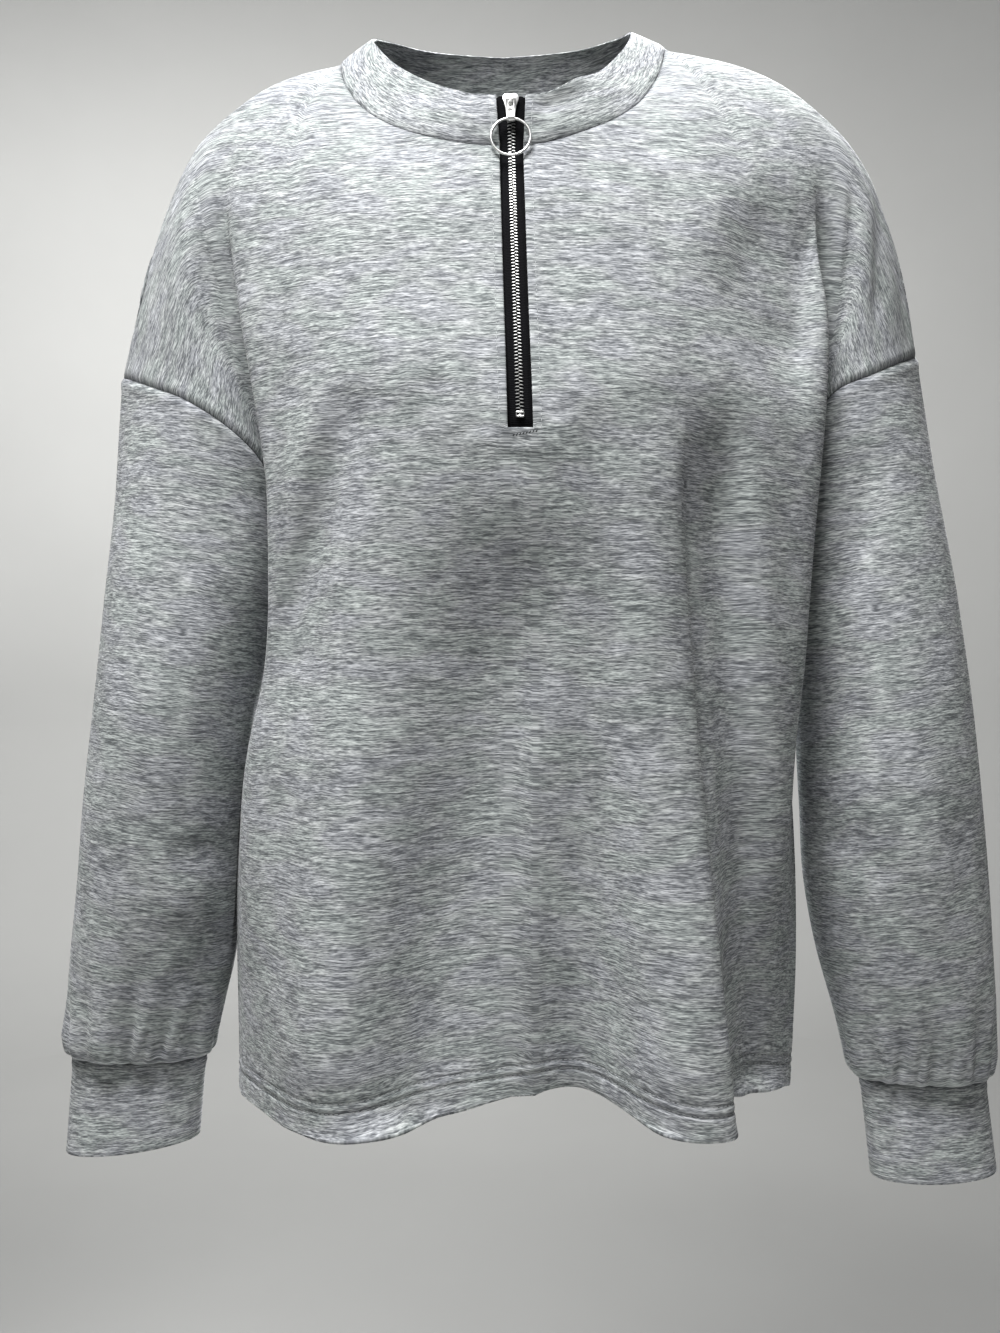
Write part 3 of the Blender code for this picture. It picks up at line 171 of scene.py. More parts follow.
# Level of the hem's edge at each station: it rises over the dip between the two front lobes.
FRONT_HEM_LEVELS = {
    "right": {"centre": -621, "inner": -624.5, "lobe": -633.5, "flank": -638.5, "dip": -640,
              "edge": -642, "valley": -645, "join": -646},
    "left": {"centre": -621, "inner": -621.5, "lobe": -632.5, "flank": -634, "dip": -630,
             "edge": -631.5, "valley": -636, "join": -646},
}
BACK_HEM_LEVELS = {"centre": -652, "blade": -653, "outer": -651, "flank": -648, "join": -646}

# Neck seam and top edge of the collar, from the zip (0) past the shoulder seam to the middle of
# the back (1).
SHOULDER_SHARE = 0.5
NECK_FIELDS = ("share", "seam_x", "seam_y", "seam_z", "top_x", "top_y", "top_z")
NECK_RIGHT = (
    (0.00, -6.4, -75, -85, -8.6, -72, -54.5),
    (0.08, -29, -72, -82, -24, -68, -51.5),
    (0.17, -52, -64, -74, -41, -58, -43),
    (0.27, -74, -51, -61, -59.5, -43, -28.5),
    (0.36, -91, -34, -43, -73, -26, -12.5),
    (0.43, -102, -16, -22, -82, -8, 4),
    (0.50, -107, 5, -1, -87, 7, 16),
    (0.66, -97, 38, 6, -79, 33, 28),
    (0.82, -64, 62, 6, -52, 53, 31),
    (1.00, -4, 71, 5, -4, 61, 31),
)
NECK_LEFT = (
    (0.00, 7.0, -75, -85, 8.3, -72, -54.5),
    (0.08, 23, -73, -81.5, 23, -68, -50.5),
    (0.17, 43, -65, -72, 38, -57, -38),
    (0.27, 65, -51, -57, 52, -41, -27),
    (0.36, 81, -34, -38, 63, -25, -11.5),
    (0.43, 92, -15, -15, 72, -9, 5),
    (0.50, 98, 5, 9, 77, 7, 20),
    (0.66, 88, 38, 11, 70, 33, 30),
    (0.82, 57, 62, 8, 45, 53, 32),
    (1.00, -4, 71, 5, -4, 61, 31),
)

# How the cloth leaves the neck and shoulder seams, across a half panel.
LEAVING_FIELDS = ("column", "outward", "forward", "down")
FRONT_LEAVING = ((0.0, 0.0, 0.32, 0.95), (0.3, 0.25, 0.5, 0.8), (0.46, 0.5, 0.6, 0.6),
                 (0.55, 0.3, 0.75, 0.6), (0.70, 0.0, 0.8, 0.6), (1.0, 0.0, 0.8, 0.6))
BACK_LEAVING = ((0.0, 0.0, -0.45, 0.9), (0.25, 0.08, -0.65, 0.75), (0.42, 0.0, -0.85, 0.5),
                (0.55, 0.0, -0.97, 0.2), (0.70, 0.0, -0.92, 0.38), (1.0, 0.0, -0.85, 0.53))

# Shoulder seams, from the neck (0) to where the cloth turns down (1), then on to the sleeve.
SEAM_FIELDS = ("share", "x", "y", "z")
YOKE_SEAM_RIGHT = ((0.0, -107, 5, -1), (0.28, -131, -2, -10), (0.60, -156, -6, -23),
                   (0.82, -175, -8, -38), (1.0, -192, -8, -54))
YOKE_SEAM_LEFT = ((0.0, 98, 5, 9), (0.20, 120, -2, 1), (0.44, 144, -6, -7), (0.66, 169, -8, -19),
                  (0.83, 188, -8, -33), (1.0, 206, -8, -50))
DROP_SEAM_RIGHT = ((0.0, -192, -8, -54), (0.14, -203, -8, -72), (0.38, -217, -8, -111),
                   (0.62, -227, -7, -147), (0.85, -238, -3, -181), (1.0, -244, 0, -200))
DROP_SEAM_LEFT = ((0.0, 206, -8, -50), (0.18, 221, -8, -70), (0.40, 234, -8, -100),
                  (0.62, 244, -7, -131), (0.82, 251, -4, -160), (1.0, 256, 0, -187))

# Armhole seams from the top of the sleeve (0) to the underarm (1).
ARMHOLE_FRONT_RIGHT = ((0.0, -244, 0, -200), (0.20, -220, -24, -211), (0.37, -195, -38, -222),
                       (0.56, -167, -34, -240), (0.68, -154, -25, -253), (0.83, -143, -14, -273),
                       (1.0, -128, 0, -300))
ARMHOLE_BACK_RIGHT = ((0.0, -244, 0, -200), (0.18, -232, 28, -206), (0.36, -207, 47, -216),
                      (0.54, -179, 49, -232), (0.69, -156, 38, -252), (0.84, -138, 20, -277),
                      (1.0, -128, 0, -300))
ARMHOLE_FRONT_LEFT = ((0.0, 256, 0, -187), (0.18, 238, -20, -196), (0.34, 219, -30, -205),
                      (0.50, 197, -31, -215), (0.68, 180, -23, -237), (0.84, 165, -11, -267),
                      (1.0, 150, 0, -300))
ARMHOLE_BACK_LEFT = ((0.0, 256, 0, -187), (0.18, 246, 28, -194), (0.36, 226, 47, -206),
                     (0.54, 200, 50, -224), (0.69, 178, 39, -246), (0.84, 161, 20, -273),
                     (1.0, 150, 0, -300))

# Sleeve sections. The last row is the fullest one, where the cloth turns in over the cuff.
SLEEVE_FIELDS = ("level", "inner_x", "outer_x", "front_y", "back_y")
SLEEVE_RIGHT = (
    (-345, 146, 256, 46, -62),
    (-400, 160, 261, 50, -66),
    (-465, 168, 268, 49, -64),
    (-515, 171, 272, 45, -59),
    (-560, 174, 277, 38, -53),
    (-590, 180, 280, 33, -48),
    (-614, 185, 284, 30, -46),
)
SLEEVE_LEFT = (
    (-345, 166, 283, 44, -62),
    (-400, 180, 290, 48, -66),
    (-465, 185, 296.5, 48, -64),
    (-516, 187.5, 301, 45, -60),
    (-560, 195, 304, 40, -54),
    (-600, 206, 307, 34, -49),
    (-627, 212, 308.5, 29, -44),
)

# Cuff rings: the middle and half sizes at the top, where the sleeve is sewn on, and at the edge.
CUFF_FIELDS = ("top_z", "top_x", "top_y", "bottom_z", "bottom_x", "bottom_y", "half_width",
               "half_depth", "edge_rise")
CUFF_RIGHT = (-627, -235, 8, -683, -238.5, 5, 42, 22.5, -5)
CUFF_LEFT = (-641, 262, 8, -702, 268.5, 6, 39.5, 22, 2)

# Gathers where a sleeve meets its cuff: where each crease stands, how far up it reaches,
# how deep it is and how wide, in degrees round the sleeve from its outer side by the front.
GATHER_FIELDS = ("angle", "reach", "depth", "spread")
GATHERS = (
    (26, 36, 4.0, 9), (51, 50, 5.0, 9), (90, 66, 6.0, 10), (116, 54, 5.5, 9), (141, 42, 4.5, 9),
    (180, 34, 3.5, 9), (219, 56, 5.0, 9), (257, 68, 5.5, 10), (296, 46, 4.5, 9), (334, 38, 4.0, 9),
)

# Zip: the line of its middle, then half the width of the slot that it shows in.
ZIP_FIELDS = ("level", "depth_y", "middle_x", "slot_half")
ZIP_LINE = (
    (-54.5, 72.0, -0.2, 8.4),
    (-66.0, 73.3, 0.1, 7.2),
    (-75.0, 74.2, 0.2, 6.7),
    (-85.0, 75.0, 0.3, 6.7),
    (-130.0, 90.0, 1.2, 6.7),
    (-180.0, 104.0, 2.5, 6.7),
    (-230.0, 115.0, 4.0, 6.7),
    (-254.0, 117.4, 4.7, 6.7),
    (-300.0, 116.0, 5.5, 6.7),
    (-646.0, 93.0, 7.5, 6.7),
)
ZIP_TOP_LEVEL = ZIP_LINE[0][0]

# Zip tapes: how far out they go behind the cloth and below the slot, how far their middle comes
# forward in the slot and where above its end, and how their inner edges part above the slider.
TAPE_OUTER = 13.0
TAPE_TUCK = 8.0
TAPE_RISE = 1.1
TAPE_RISE_FROM = 1.2
TAPE_RISE_LENGTH = 2.8
TAPE_START = 0.5
TAPE_APART = 2.3
TAPE_APART_LENGTH = 7.5

# Outside the tape's flat middle: where it ends, across from the slot's edge, then the columns that
# follow, across from there too, with how far behind the cloth's inner face, and the outer edge's.
TAPE_MIDDLE_END = -1.9
TAPE_TAIL_COLUMNS = ((-0.4, 0.2), (1.2, 0.45), (4.0, 0.8))
TAPE_OUTER_DEPTH = 0.9

# Bottom stop: the level of its middle and half its length.
STOP_LEVEL = -246.6
STOP_HALF_LENGTH = 1.7


# ---------------------------------------------------------------- curves and tables
def smooth_curve(stations, values, at):
    """The curve through values at stations, read at the positions in at."""
    stations = np.asarray(stations, float)
    values = np.asarray(values, float)
    at = np.atleast_1d(np.asarray(at, float))
    gaps = np.diff(stations)
    slopes = np.diff(values, axis=0) / gaps[:, None]
    tangents = np.empty_like(values)
    weight = (gaps[:-1] / (gaps[:-1] + gaps[1:]))[:, None]
    tangents[1:-1] = slopes[:-1] * (1 - weight) + slopes[1:] * weight
    tangents[0] = 1.5 * slopes[0] - 0.5 * tangents[1]
    tangents[-1] = 1.5 * slopes[-1] - 0.5 * tangents[-2]
    piece = np.clip(np.searchsorted(stations, at, side="right") - 1, 0, len(gaps) - 1)
    width = gaps[piece]
    return hermite(values[piece], tangents[piece] * width[:, None], values[piece + 1],
                   tangents[piece + 1] * width[:, None], (at - stations[piece]) / width)


def hermite(start, start_tangent, end, end_tangent, share):
    """The cubic from start to end with the given tangents, at each share of the way."""
    t = np.asarray(share, float)[..., None]
    return (start * (2 * t ** 3 - 3 * t ** 2 + 1) + start_tangent * (t ** 3 - 2 * t ** 2 + t)
            + end * (3 * t ** 2 - 2 * t ** 3) + end_tangent * (t ** 3 - t ** 2))


def unit(vectors, least=0.0):
    """Vectors made one long. A small least keeps a vector of no length as it is."""
    return vectors / (np.linalg.norm(vectors, axis=-1, keepdims=True) + least)


def path_lengths(path):
    """Length along a path at each of its points."""
    return np.concatenate([[0], np.cumsum(np.linalg.norm(np.diff(path, axis=0), axis=1))])


def read_path(at, along, values):
    """Straight-line values between the rows of a table, read at the lengths in at."""
    return np.stack([np.interp(at, along, values[:, k]) for k in range(values.shape[1])], axis=-1)


def column(table, fields, name):
    """One named column of a table."""
    return np.array([row[fields.index(name)] for row in table], float)


def columns(table, fields, names):
    """Some named columns of a table, side by side."""
    return np.stack([column(table, fields, name) for name in names], axis=1)


def seam_points(table, shares):
    """Points of a shoulder or armhole seam, at shares of the way along it."""
    return smooth_curve(column(table, SEAM_FIELDS, "share"),
                        columns(table, SEAM_FIELDS, ("x", "y", "z")), shares)


def zip_values(level):
    """Depth, middle and slot half width of the zip at each level."""
    values = columns(ZIP_LINE, ZIP_FIELDS, ("depth_y", "middle_x", "slot_half"))
    return smooth_curve(-column(ZIP_LINE, ZIP_FIELDS, "level"), values, -np.atleast_1d(level))


# ---------------------------------------------------------------- body panels
def spaced(count, near_start=0.0, near_end=0.0):
    """Shares from 0 to 1, closer together towards the ends that are asked for."""
    t = np.linspace(0, 1, count + 1)
    slow = t - near_start * np.sin(math.pi * t) * (1 - t) ** 2 / math.pi * 2
    return np.clip(slow + near_end * np.sin(math.pi * t) * t ** 2 / math.pi * 2, 0, 1)


def across_shares(neck_part, neck_count, shoulder_count):
    """Columns of a half panel, closest at the middle edge and at the join."""
    first = spaced(neck_count, near_start=MIDDLE_CLOSENESS) * neck_part
    second = neck_part + spaced(shoulder_count, near_end=JOIN_CLOSENESS) * (1 - neck_part)
    return np.concatenate([first[:-1], second])


FRONT_COLUMNS = across_shares(NECK_COLUMN, FRONT_NECK_COLUMNS, SHOULDER_COLUMNS)
BACK_COLUMNS = across_shares(NECK_COLUMN, BACK_NECK_COLUMNS, SHOULDER_COLUMNS)


def section_knots(table, fields, stations, side):
    """The named points of each section: level by station, as x and y."""
    names = list(stations)
    levels = column(table, fields, "level")
    knots = np.zeros((len(table), len(names), 2))
    knots[:, 0, 1] = -column(table, fields, "centre_y")
    for k, name in enumerate(names[1:], start=1):
        knots[:, k, 0] = side * column(table, fields, name + "_x")
        knots[:, k, 1] = -column(table, fields, name + "_y")
    return levels, knots


def half_panel(table, fields, stations, across, side, hem_levels, top, top_tangent, middle):
    """Rows of points of a half panel, with how far each stands above the hem's edge."""
    levels, knots = section_knots(table, fields, stations, side)
    knots[:, 0, 0] = middle(levels)
    shares = list(stations.values())
    flat = np.stack([smooth_curve(shares, row, across).ravel() for row in knots])
    hem = smooth_curve(shares, [[hem_levels[name]] for name in stations], across)[:, 0]

    def level_row(level):
        """The row of points at a level of the sections."""
        points = np.empty((len(across), 3))
        points[:, :2] = smooth_curve(-levels, flat, -level).reshape(len(across), 2)
        if level < UNDERARM_LEVEL:
            points[-1, :2] = side * side_seam_out(side, level), 0.0
        drop = np.clip((UNDERARM_LEVEL - level) / (UNDERARM_LEVEL - SIDE_HEM_LEVEL), 0, 1)
        points[:, 2] = level + (hem - SIDE_HEM_LEVEL) * drop ** 2
        return points

    chest = level_row(CHEST_LEVEL)
    slope = (level_row(CHEST_LEVEL - SLOPE_STEP) - chest) / SLOPE_STEP
    reach = np.linalg.norm(chest - top, axis=1)[:, None]
    rows = [hermite(top, top_tangent * reach, chest, slope * reach, np.full(len(across), share))
            for share in np.linspace(0, 1, YOKE_ROWS + 1)]
    rise = [CHEST_LEVEL - SIDE_HEM_LEVEL] * len(rows)
    band_top = SIDE_HEM_LEVEL + HEM_BAND
    for start, end, count in ((CHEST_LEVEL, ZIP_END_LEVEL, ZIP_ROWS),
                              (ZIP_END_LEVEL, UNDERARM_LEVEL, ARMPIT_ROWS),
                              (UNDERARM_LEVEL, band_top, SKIRT_ROWS),
                              (band_top, SIDE_HEM_LEVEL, HEM_ROWS)):
        for level in np.linspace(start, end, count + 1)[1:]:
            rows.append(level_row(level))
            rise.append(level - SIDE_HEM_LEVEL)
    return np.stack(rows), np.array(rise)


def side_seam_out(side, level):
    """How far out a side seam stands at a level below the underarm."""
    table = [row for row in (FRONT_RIGHT if side < 0 else FRONT_LEFT) if row[0] <= UNDERARM_LEVEL]
    levels = column(table, FRONT_FIELDS, "level")
    return smooth_curve(-levels, column(table, FRONT_FIELDS, "join_x")[:, None], -level)[0, 0]


def drop_panel(panel, across_columns, shoulder, armhole, arm_slope):
    """Rows of the dropped part of a panel, from its join with the main part to the armhole."""
    join = panel[:DROP_ROWS + 1, -1]
    read = np.array([read_path(JOIN_READ, across_columns, row) for row in panel[:DROP_ROWS + 1]])
    along = unit(join - read)
    edge = seam_points(armhole, np.linspace(0, 1, DROP_ROWS + 1))
    across = spaced(DROP_COLUMNS, near_end=DROP_CLOSENESS)
    rows = [seam_points(shoulder, across)]
    first = seam_points(shoulder, np.array((0.0, SEAM_READ)))
    down_seam = unit(first[1] - first[0])
    for k in range(1, DROP_ROWS):
        reach = np.linalg.norm(edge[k] - join[k])
        turn = min(1.0, k / SEAM_TURN_ROWS)
        start = along[k] * turn + down_seam * (1 - turn)
        rows.append(hermite(join[k], start * reach, edge[k], arm_slope * reach, across))
    rows.append(np.repeat(join[DROP_ROWS][None], DROP_COLUMNS + 1, axis=0))
    return np.stack(rows)


def top_directions(across, table, sign):
    """Direction in which the cloth leaves the top edge at each column of a half panel."""
    directions = read_path(across, column(table, LEAVING_FIELDS, "column"),
                           columns(table, LEAVING_FIELDS, ("outward", "forward", "down")))
    return unit(directions * (sign, -1, -1))


def neck_shares(across, back):
    """How far round the neck seam each column of a half panel stands, up to the shoulder."""
    shares = np.array([SHOULDER_SHARE * share / NECK_COLUMN for share in across
                       if share < NECK_COLUMN])
    return 1 - shares if back else shares


def top_edge(across, neck, yoke_seam, back):
    """Points of a half panel's top edge: the neck seam, then the shoulder seam."""
    round_neck = smooth_curve(column(neck, NECK_FIELDS, "share"),
                              columns(neck, NECK_FIELDS, ("seam_x", "seam_y", "seam_z")),
                              neck_shares(across, back))
    along = [(share - NECK_COLUMN) / (1 - NECK_COLUMN) for share in across if share >= NECK_COLUMN]
    return np.concatenate([round_neck, seam_points(yoke_seam, along)])


# Wearer's sides: the sign of x, and the tables that belong to each.
SIDES = {
    "right": {"sign": -1, "front": FRONT_RIGHT, "back": BACK_RIGHT, "neck": NECK_RIGHT,
              "yoke": YOKE_SEAM_RIGHT, "drop": DROP_SEAM_RIGHT, "armhole_front": ARMHOLE_FRONT_RIGHT,
              "armhole_back": ARMHOLE_BACK_RIGHT, "sleeve": SLEEVE_RIGHT, "cuff": CUFF_RIGHT},
    "left": {"sign": 1, "front": FRONT_LEFT, "back": BACK_LEFT, "neck": NECK_LEFT,
             "yoke": YOKE_SEAM_LEFT, "drop": DROP_SEAM_LEFT, "armhole_front": ARMHOLE_FRONT_LEFT,
             "armhole_back": ARMHOLE_BACK_LEFT, "sleeve": SLEEVE_LEFT, "cuff": CUFF_LEFT},
}


# Slope of the shoulder seam when the panel lies flat, before it is worn.
FLAT_SEAM_SLOPE = math.radians(20)


def lengths(points, axis):
    """Length along a grid's columns (axis 0) or rows (axis 1), from its start."""
    steps = np.linalg.norm(np.diff(points, axis=axis), axis=2)
    start = np.zeros_like(np.take(steps, [0], axis=axis))
    return np.concatenate([start, np.cumsum(steps, axis=axis)], axis=axis)


def main_flat(main, sign, start):
    """Where each point of a half panel's main part lies when the cloth is flat."""
    along = (start + lengths(main, 1)) * sign
    down = lengths(main[YOKE_ROWS::-1], 0)[::-1]
    share = down / down[:1]
    u = along.copy()
    u[:YOKE_ROWS + 1] = (1 - share) * along[YOKE_ROWS] + share * main[0, :, 0]
    v = np.empty(main.shape[:2])
    v[:YOKE_ROWS + 1] = down
    v[YOKE_ROWS:] = -lengths(main[YOKE_ROWS:], 0).mean(axis=1)[:, None]
    return np.stack([u, v], axis=2)


def drop_flat(flat, drop, sign):
    """The same for the dropped part, between its join and the armhole seam."""
    join = flat[:DROP_ROWS + 1, -1]
    seam = np.linalg.norm(np.diff(drop[0], axis=0), axis=1).sum()
    top = join[0] + seam * np.array((sign * math.cos(FLAT_SEAM_SLOPE), -math.sin(FLAT_SEAM_SLOPE)))
    share = np.linspace(0, 1, DROP_ROWS + 1)[:, None]
    edge = top + (join[-1] - top) * share
    across = spaced(DROP_COLUMNS, near_end=DROP_CLOSENESS)[None, :, None]
    return join[:, None] + (edge - join)[:, None] * across


def panel_half(kind, name):
    """Main and dropped part of one half of the front or back: points, flat places and rise."""
    side = SIDES[name]
    sign = side["sign"]

    def front_middle(levels):
        """x of the slot's edge at each level."""
        values = zip_values(levels)
        return values[:, 1] + sign * values[:, 2]

    def back_middle(levels):
        """x of the back's middle line at each level."""
        down = (levels - CHEST_LEVEL) / (SIDE_HEM_LEVEL - CHEST_LEVEL)
        return BACK_MIDDLE_TOP + (BACK_MIDDLE_HEM - BACK_MIDDLE_TOP) * np.clip(down, 0, 1)

    if kind == "front":
        across, stations, fields = FRONT_COLUMNS, FRONT_STATIONS, FRONT_FIELDS
        leaving, hem, middle, forward = FRONT_LEAVING, FRONT_HEM_LEVELS[name], front_middle, -1
    else:
        across, stations, fields = BACK_COLUMNS, BACK_STATIONS, BACK_FIELDS
        leaving, hem, middle, forward = BACK_LEAVING, BACK_HEM_LEVELS, back_middle, 1
    top = top_edge(across, side["neck"], side["yoke"], back=kind == "back")
    directions = top_directions(across, leaving, sign)
    main, rise = half_panel(side[kind], fields, stations, across, sign, hem, top, directions,
                            middle)
    drop = drop_panel(main, across, side["drop"], side["armhole_" + kind],
                      np.array((sign, forward, 1)) * ARM_SLOPE)
    slot = column(ZIP_LINE, ZIP_FIELDS, "slot_half")[-1]
    flat = main_flat(main, sign, slot if kind == "front" else 0.0)
    return main, flat, rise, drop, drop_flat(flat, drop, sign)


# ---------------------------------------------------------------- sleeves, cuffs and collar
def gather_depth(angles, height):
    """How far the cloth is drawn in, round the sleeve, at a height above the cuff."""
    total = np.zeros_like(angles)
    for angle, reach, depth, spread in columns(GATHERS, GATHER_FIELDS, GATHER_FIELDS):
        turn = (np.degrees(angles) - angle + 180) % 360 - 180
        fade = np.clip(1 - height / reach, 0, 1)
        total += depth * fade * np.exp(-(turn / spread) ** 2)
    return total


def ring_angles(loop):
    """Angles round a sleeve, one for each point of its armhole loop."""
    return np.arange(len(loop)) * 2 * math.pi / len(loop)


def ellipse(centre, half_width, half_depth, angles, sign):
    """A ring of points: angle 0 is the outer side and a quarter turn is the front."""
    points = np.empty((len(angles), 3))
    points[:, 0] = centre[0] + sign * half_width * np.cos(angles)
    points[:, 1] = centre[1] - half_depth * np.sin(angles)
    points[:, 2] = centre[2]
    return points


def cuff_ring(name, share, angles):
    """The ring of a cuff at a share of the way down it."""
    side = SIDES[name]
    cuff = dict(zip(CUFF_FIELDS, side["cuff"]))
    top = np.array((cuff["top_x"], cuff["top_y"], cuff["top_z"]))
    bottom = np.array((cuff["bottom_x"], cuff["bottom_y"], cuff["bottom_z"]))
    centre = top + (bottom - top) * share
    points = ellipse(centre, cuff["half_width"], cuff["half_depth"], angles, side["sign"])
    points[:, 2] += cuff["edge_rise"] * share * np.cos(angles)
    return points


def sleeve_rings(name, loop):
    """Rings of a sleeve, from the armhole loop down to the top of its cuff."""
    side = SIDES[name]
    sign = side["sign"]
    angles = ring_angles(loop)
    levels = column(side["sleeve"], SLEEVE_FIELDS, "level")
    sizes = columns(side["sleeve"], SLEEVE_FIELDS, ("inner_x", "outer_x", "front_y", "back_y"))

    def ring(level):
        """The ring of points at a level of the sections."""
        inner, outer, front, back = smooth_curve(-levels, sizes, -level)[0]
        centre = (sign * (inner + outer) / 2, -(front + back) / 2, level)
        points = ellipse(centre, (outer - inner) / 2, (front - back) / 2, angles, sign)
        pull = gather_depth(angles, level - levels[-1])[:, None]
        return points - unit(points - np.array(centre)) * pull

    first = ring(levels[0])
    slope = (ring(levels[0] - SLOPE_STEP) - first) / SLOPE_STEP
    reach = np.linalg.norm(first - loop, axis=1)[:, None]
    leave = (first - loop) / reach
    leave[:, 2] = np.minimum(leave[:, 2], -LEAST_FALL)
    leave = unit(leave)
    shares = np.linspace(0, 1, SLEEVE_TOP_ROWS + 1) ** SEAM_CLOSENESS
    rings = [hermite(loop, leave * reach, first, slope * reach, np.full(len(loop), share))
             for share in shares]
    for level in np.linspace(levels[0], levels[-1], SLEEVE_ROWS + 1)[1:]:
        rings.append(ring(level))
    cuff_top = cuff_ring(name, 0.0, angles)
    full = rings[-1]
    steps = column(TURN_UNDER, TURN_FIELDS, "step")
    turns = smooth_curve(steps, columns(TURN_UNDER, TURN_FIELDS, ("inward", "fall")),
                         np.linspace(0, steps[-1], TURN_ROWS + 1)[1:])
    for inward, fall in turns:
        turned = full + (cuff_top - full) * inward
        turned[:, 2] = full[:, 2] + (cuff_top[:, 2] - full[:, 2]) * fall
        rings.append(turned)
    rings[-1] = cuff_top
    return np.stack(rings)


def collar_rows():
    """Rows of the collar, from the neck seam up, each from the zip round to the zip."""
    shares = np.concatenate([neck_shares(FRONT_COLUMNS, back=False), [SHOULDER_SHARE],
                             neck_shares(BACK_COLUMNS, back=True)[::-1]])
    halves = []
    for name in ("right", "left"):
        table = SIDES[name]["neck"]
        stations = column(table, NECK_FIELDS, "share")
        halves.append(smooth_curve(stations, columns(table, NECK_FIELDS, NECK_FIELDS[1:]), shares))
    loop = np.concatenate([halves[0], halves[1][-2::-1]])
    seam, top = loop[:, :3], loop[:, 3:]
    rows = []
    for share in spaced(COLLAR_ROWS, near_start=COLLAR_CLOSENESS, near_end=COLLAR_CLOSENESS):
        crown = COLLAR_CROWN * 4 * share * (1 - share)
        points = seam + (top - seam) * share
        points[:, :2] += crown * unit(points[:, :2])
        rows.append(points)
    return np.stack(rows)


# ---------------------------------------------------------------- the joined form
# Height above the hem's edge that is given to points which belong to no panel with a hem.
FAR_FROM_HEM = 999.0
# What keeps a length from being nothing.
TINY = 1e-12
# How far a point goes towards the mean of its neighbours in each round of smoothing.
SMOOTHING_STEP = 0.5


def cells(grid):
    """What a grid holds at the four corners of each of its cells."""
    return np.stack([grid[:-1, :-1], grid[:-1, 1:], grid[1:, 1:], grid[1:, :-1]], axis=2)


def facings(corners):
    """Which way quads face, from the places of their corners."""
    return np.cross(corners[:, 2] - corners[:, 0], corners[:, 3] - corners[:, 1])


class Cloth:
    """The whole garment as one surface of quads. Pieces share the points where they meet."""

    def __init__(self):
        self.points = []
        self.lookup = {}
        self.patches = []
        self.rise = {}
        self.main = set()
        self.grids = {}

    def add(self, piece, grid, flat, outward, wall, closed=False, rise=None):
        """Adds a grid of points with the flat place of each, turned to face outward."""
        rows, across = grid.shape[:2]
        index = np.empty((rows, across), int)
        for r in range(rows):
            for c in range(across):
                key = tuple(np.round(grid[r, c], 3))
                if key not in self.lookup:
                    self.lookup[key] = len(self.points)
                    self.points.append(grid[r, c])
                index[r, c] = self.lookup[key]
                if rise is not None:
                    self.rise[index[r, c]] = rise[r]
        if rise is not None:
            self.main.update(index.ravel().tolist())
        numbers = index
        if closed:
            index = np.concatenate([index, index[:, :1]], axis=1)
        quads = cells(index).reshape(-1, 4)
        uvs = cells(flat).reshape(-1, 4, 2)
        solid = (quads[:, 0] != quads[:, 1]) | (quads[:, 2] != quads[:, 3])
        quads, uvs = quads[solid], uvs[solid]
        at = np.array(self.points)[quads]
        if (facings(at) * outward(at.mean(axis=1))).sum() < 0:
            quads, uvs = quads[:, ::-1], uvs[:, ::-1]
        self.patches.append((piece, quads, uvs, wall))
        return numbers

    def finish(self):
        """Gathers the points, quads and owners into arrays."""
        self.points = np.array(self.points)
        self.quads = np.concatenate([patch[1] for patch in self.patches])
        self.owner = np.concatenate([[patch[0]] * len(patch[1]) for patch in self.patches])
        self.height = np.full(len(self.points), FAR_FROM_HEM)
        for vertex, value in self.rise.items():
            self.height[vertex] = value
        edges = np.concatenate([self.quads[:, (k, (k + 1) % 4)] for k in range(4)])
        names = np.concatenate([self.owner] * 4)
        keep = edges[:, 0] != edges[:, 1]
        edges, names = np.sort(edges[keep], axis=1), names[keep]
        unique, count = np.unique(edges, axis=0, return_counts=True)
        order = np.lexsort((edges[:, 1], edges[:, 0]))
        pairs = edges[order]
        same = (pairs[1:] == pairs[:-1]).all(axis=1)
        differ = same & (names[order][1:] != names[order][:-1])
        self.edges = unique
        self.seam = np.unique(pairs[1:][differ])
        self.rim = np.unique(unique[count == 1])

    def normals(self):
        """The normal at each point."""
        facing = facings(self.points[self.quads])
        total = np.zeros_like(self.points)
        for k in range(4):
            for axis in range(3):
                total[:, axis] += np.bincount(self.quads[:, k], facing[:, axis], len(total))
        return unit(total, TINY)

    def smooth(self, rounds, free):
        """Evens the form out. free is 1 where a point may move and 0 where it stays."""
        a, b = self.edges[:, 0], self.edges[:, 1]
        count = len(self.points)
        degree = np.bincount(a, minlength=count) + np.bincount(b, minlength=count)
        for _ in range(rounds):
            mean = np.empty_like(self.points)
            for axis in range(3):
                values = self.points[:, axis]
                mean[:, axis] = (np.bincount(a, values[b], count)
                                 + np.bincount(b, values[a], count)) / degree
            self.points += (mean - self.points) * SMOOTHING_STEP * free[:, None]

    def distance(self, members):
        """How far each point is from the nearest of some members, in millimetres."""
        tree = kdtree.KDTree(len(members))
        for k, i in enumerate(members):
            tree.insert(self.points[i], k)
        tree.balance()
        return np.array([tree.find(point)[2] for point in self.points])


def from_axis(x, y):
    """Outward means away from an upright line at x and y."""
    return lambda at: np.stack([at[:, 0] - x, at[:, 1] - y, 0 * at[:, 0]], axis=1)


def downward(at):
    """Outward means down."""
    return np.array((0.0, 0.0, -1.0))


def ring_flat(grid, way=None):
    """Flat places of a tube's points: round it from its outer side, and down it or along a way."""
    closed = np.concatenate([grid, grid[:, :1]], axis=1)
    u = lengths(closed, 1)
    if way is None:
        v = -lengths(closed, 0).mean(axis=1)[:, None] * np.ones_like(u)
    else:
        v = -(closed - closed[0, 0]) @ unit(way)
    return np.stack([u, v], axis=2)


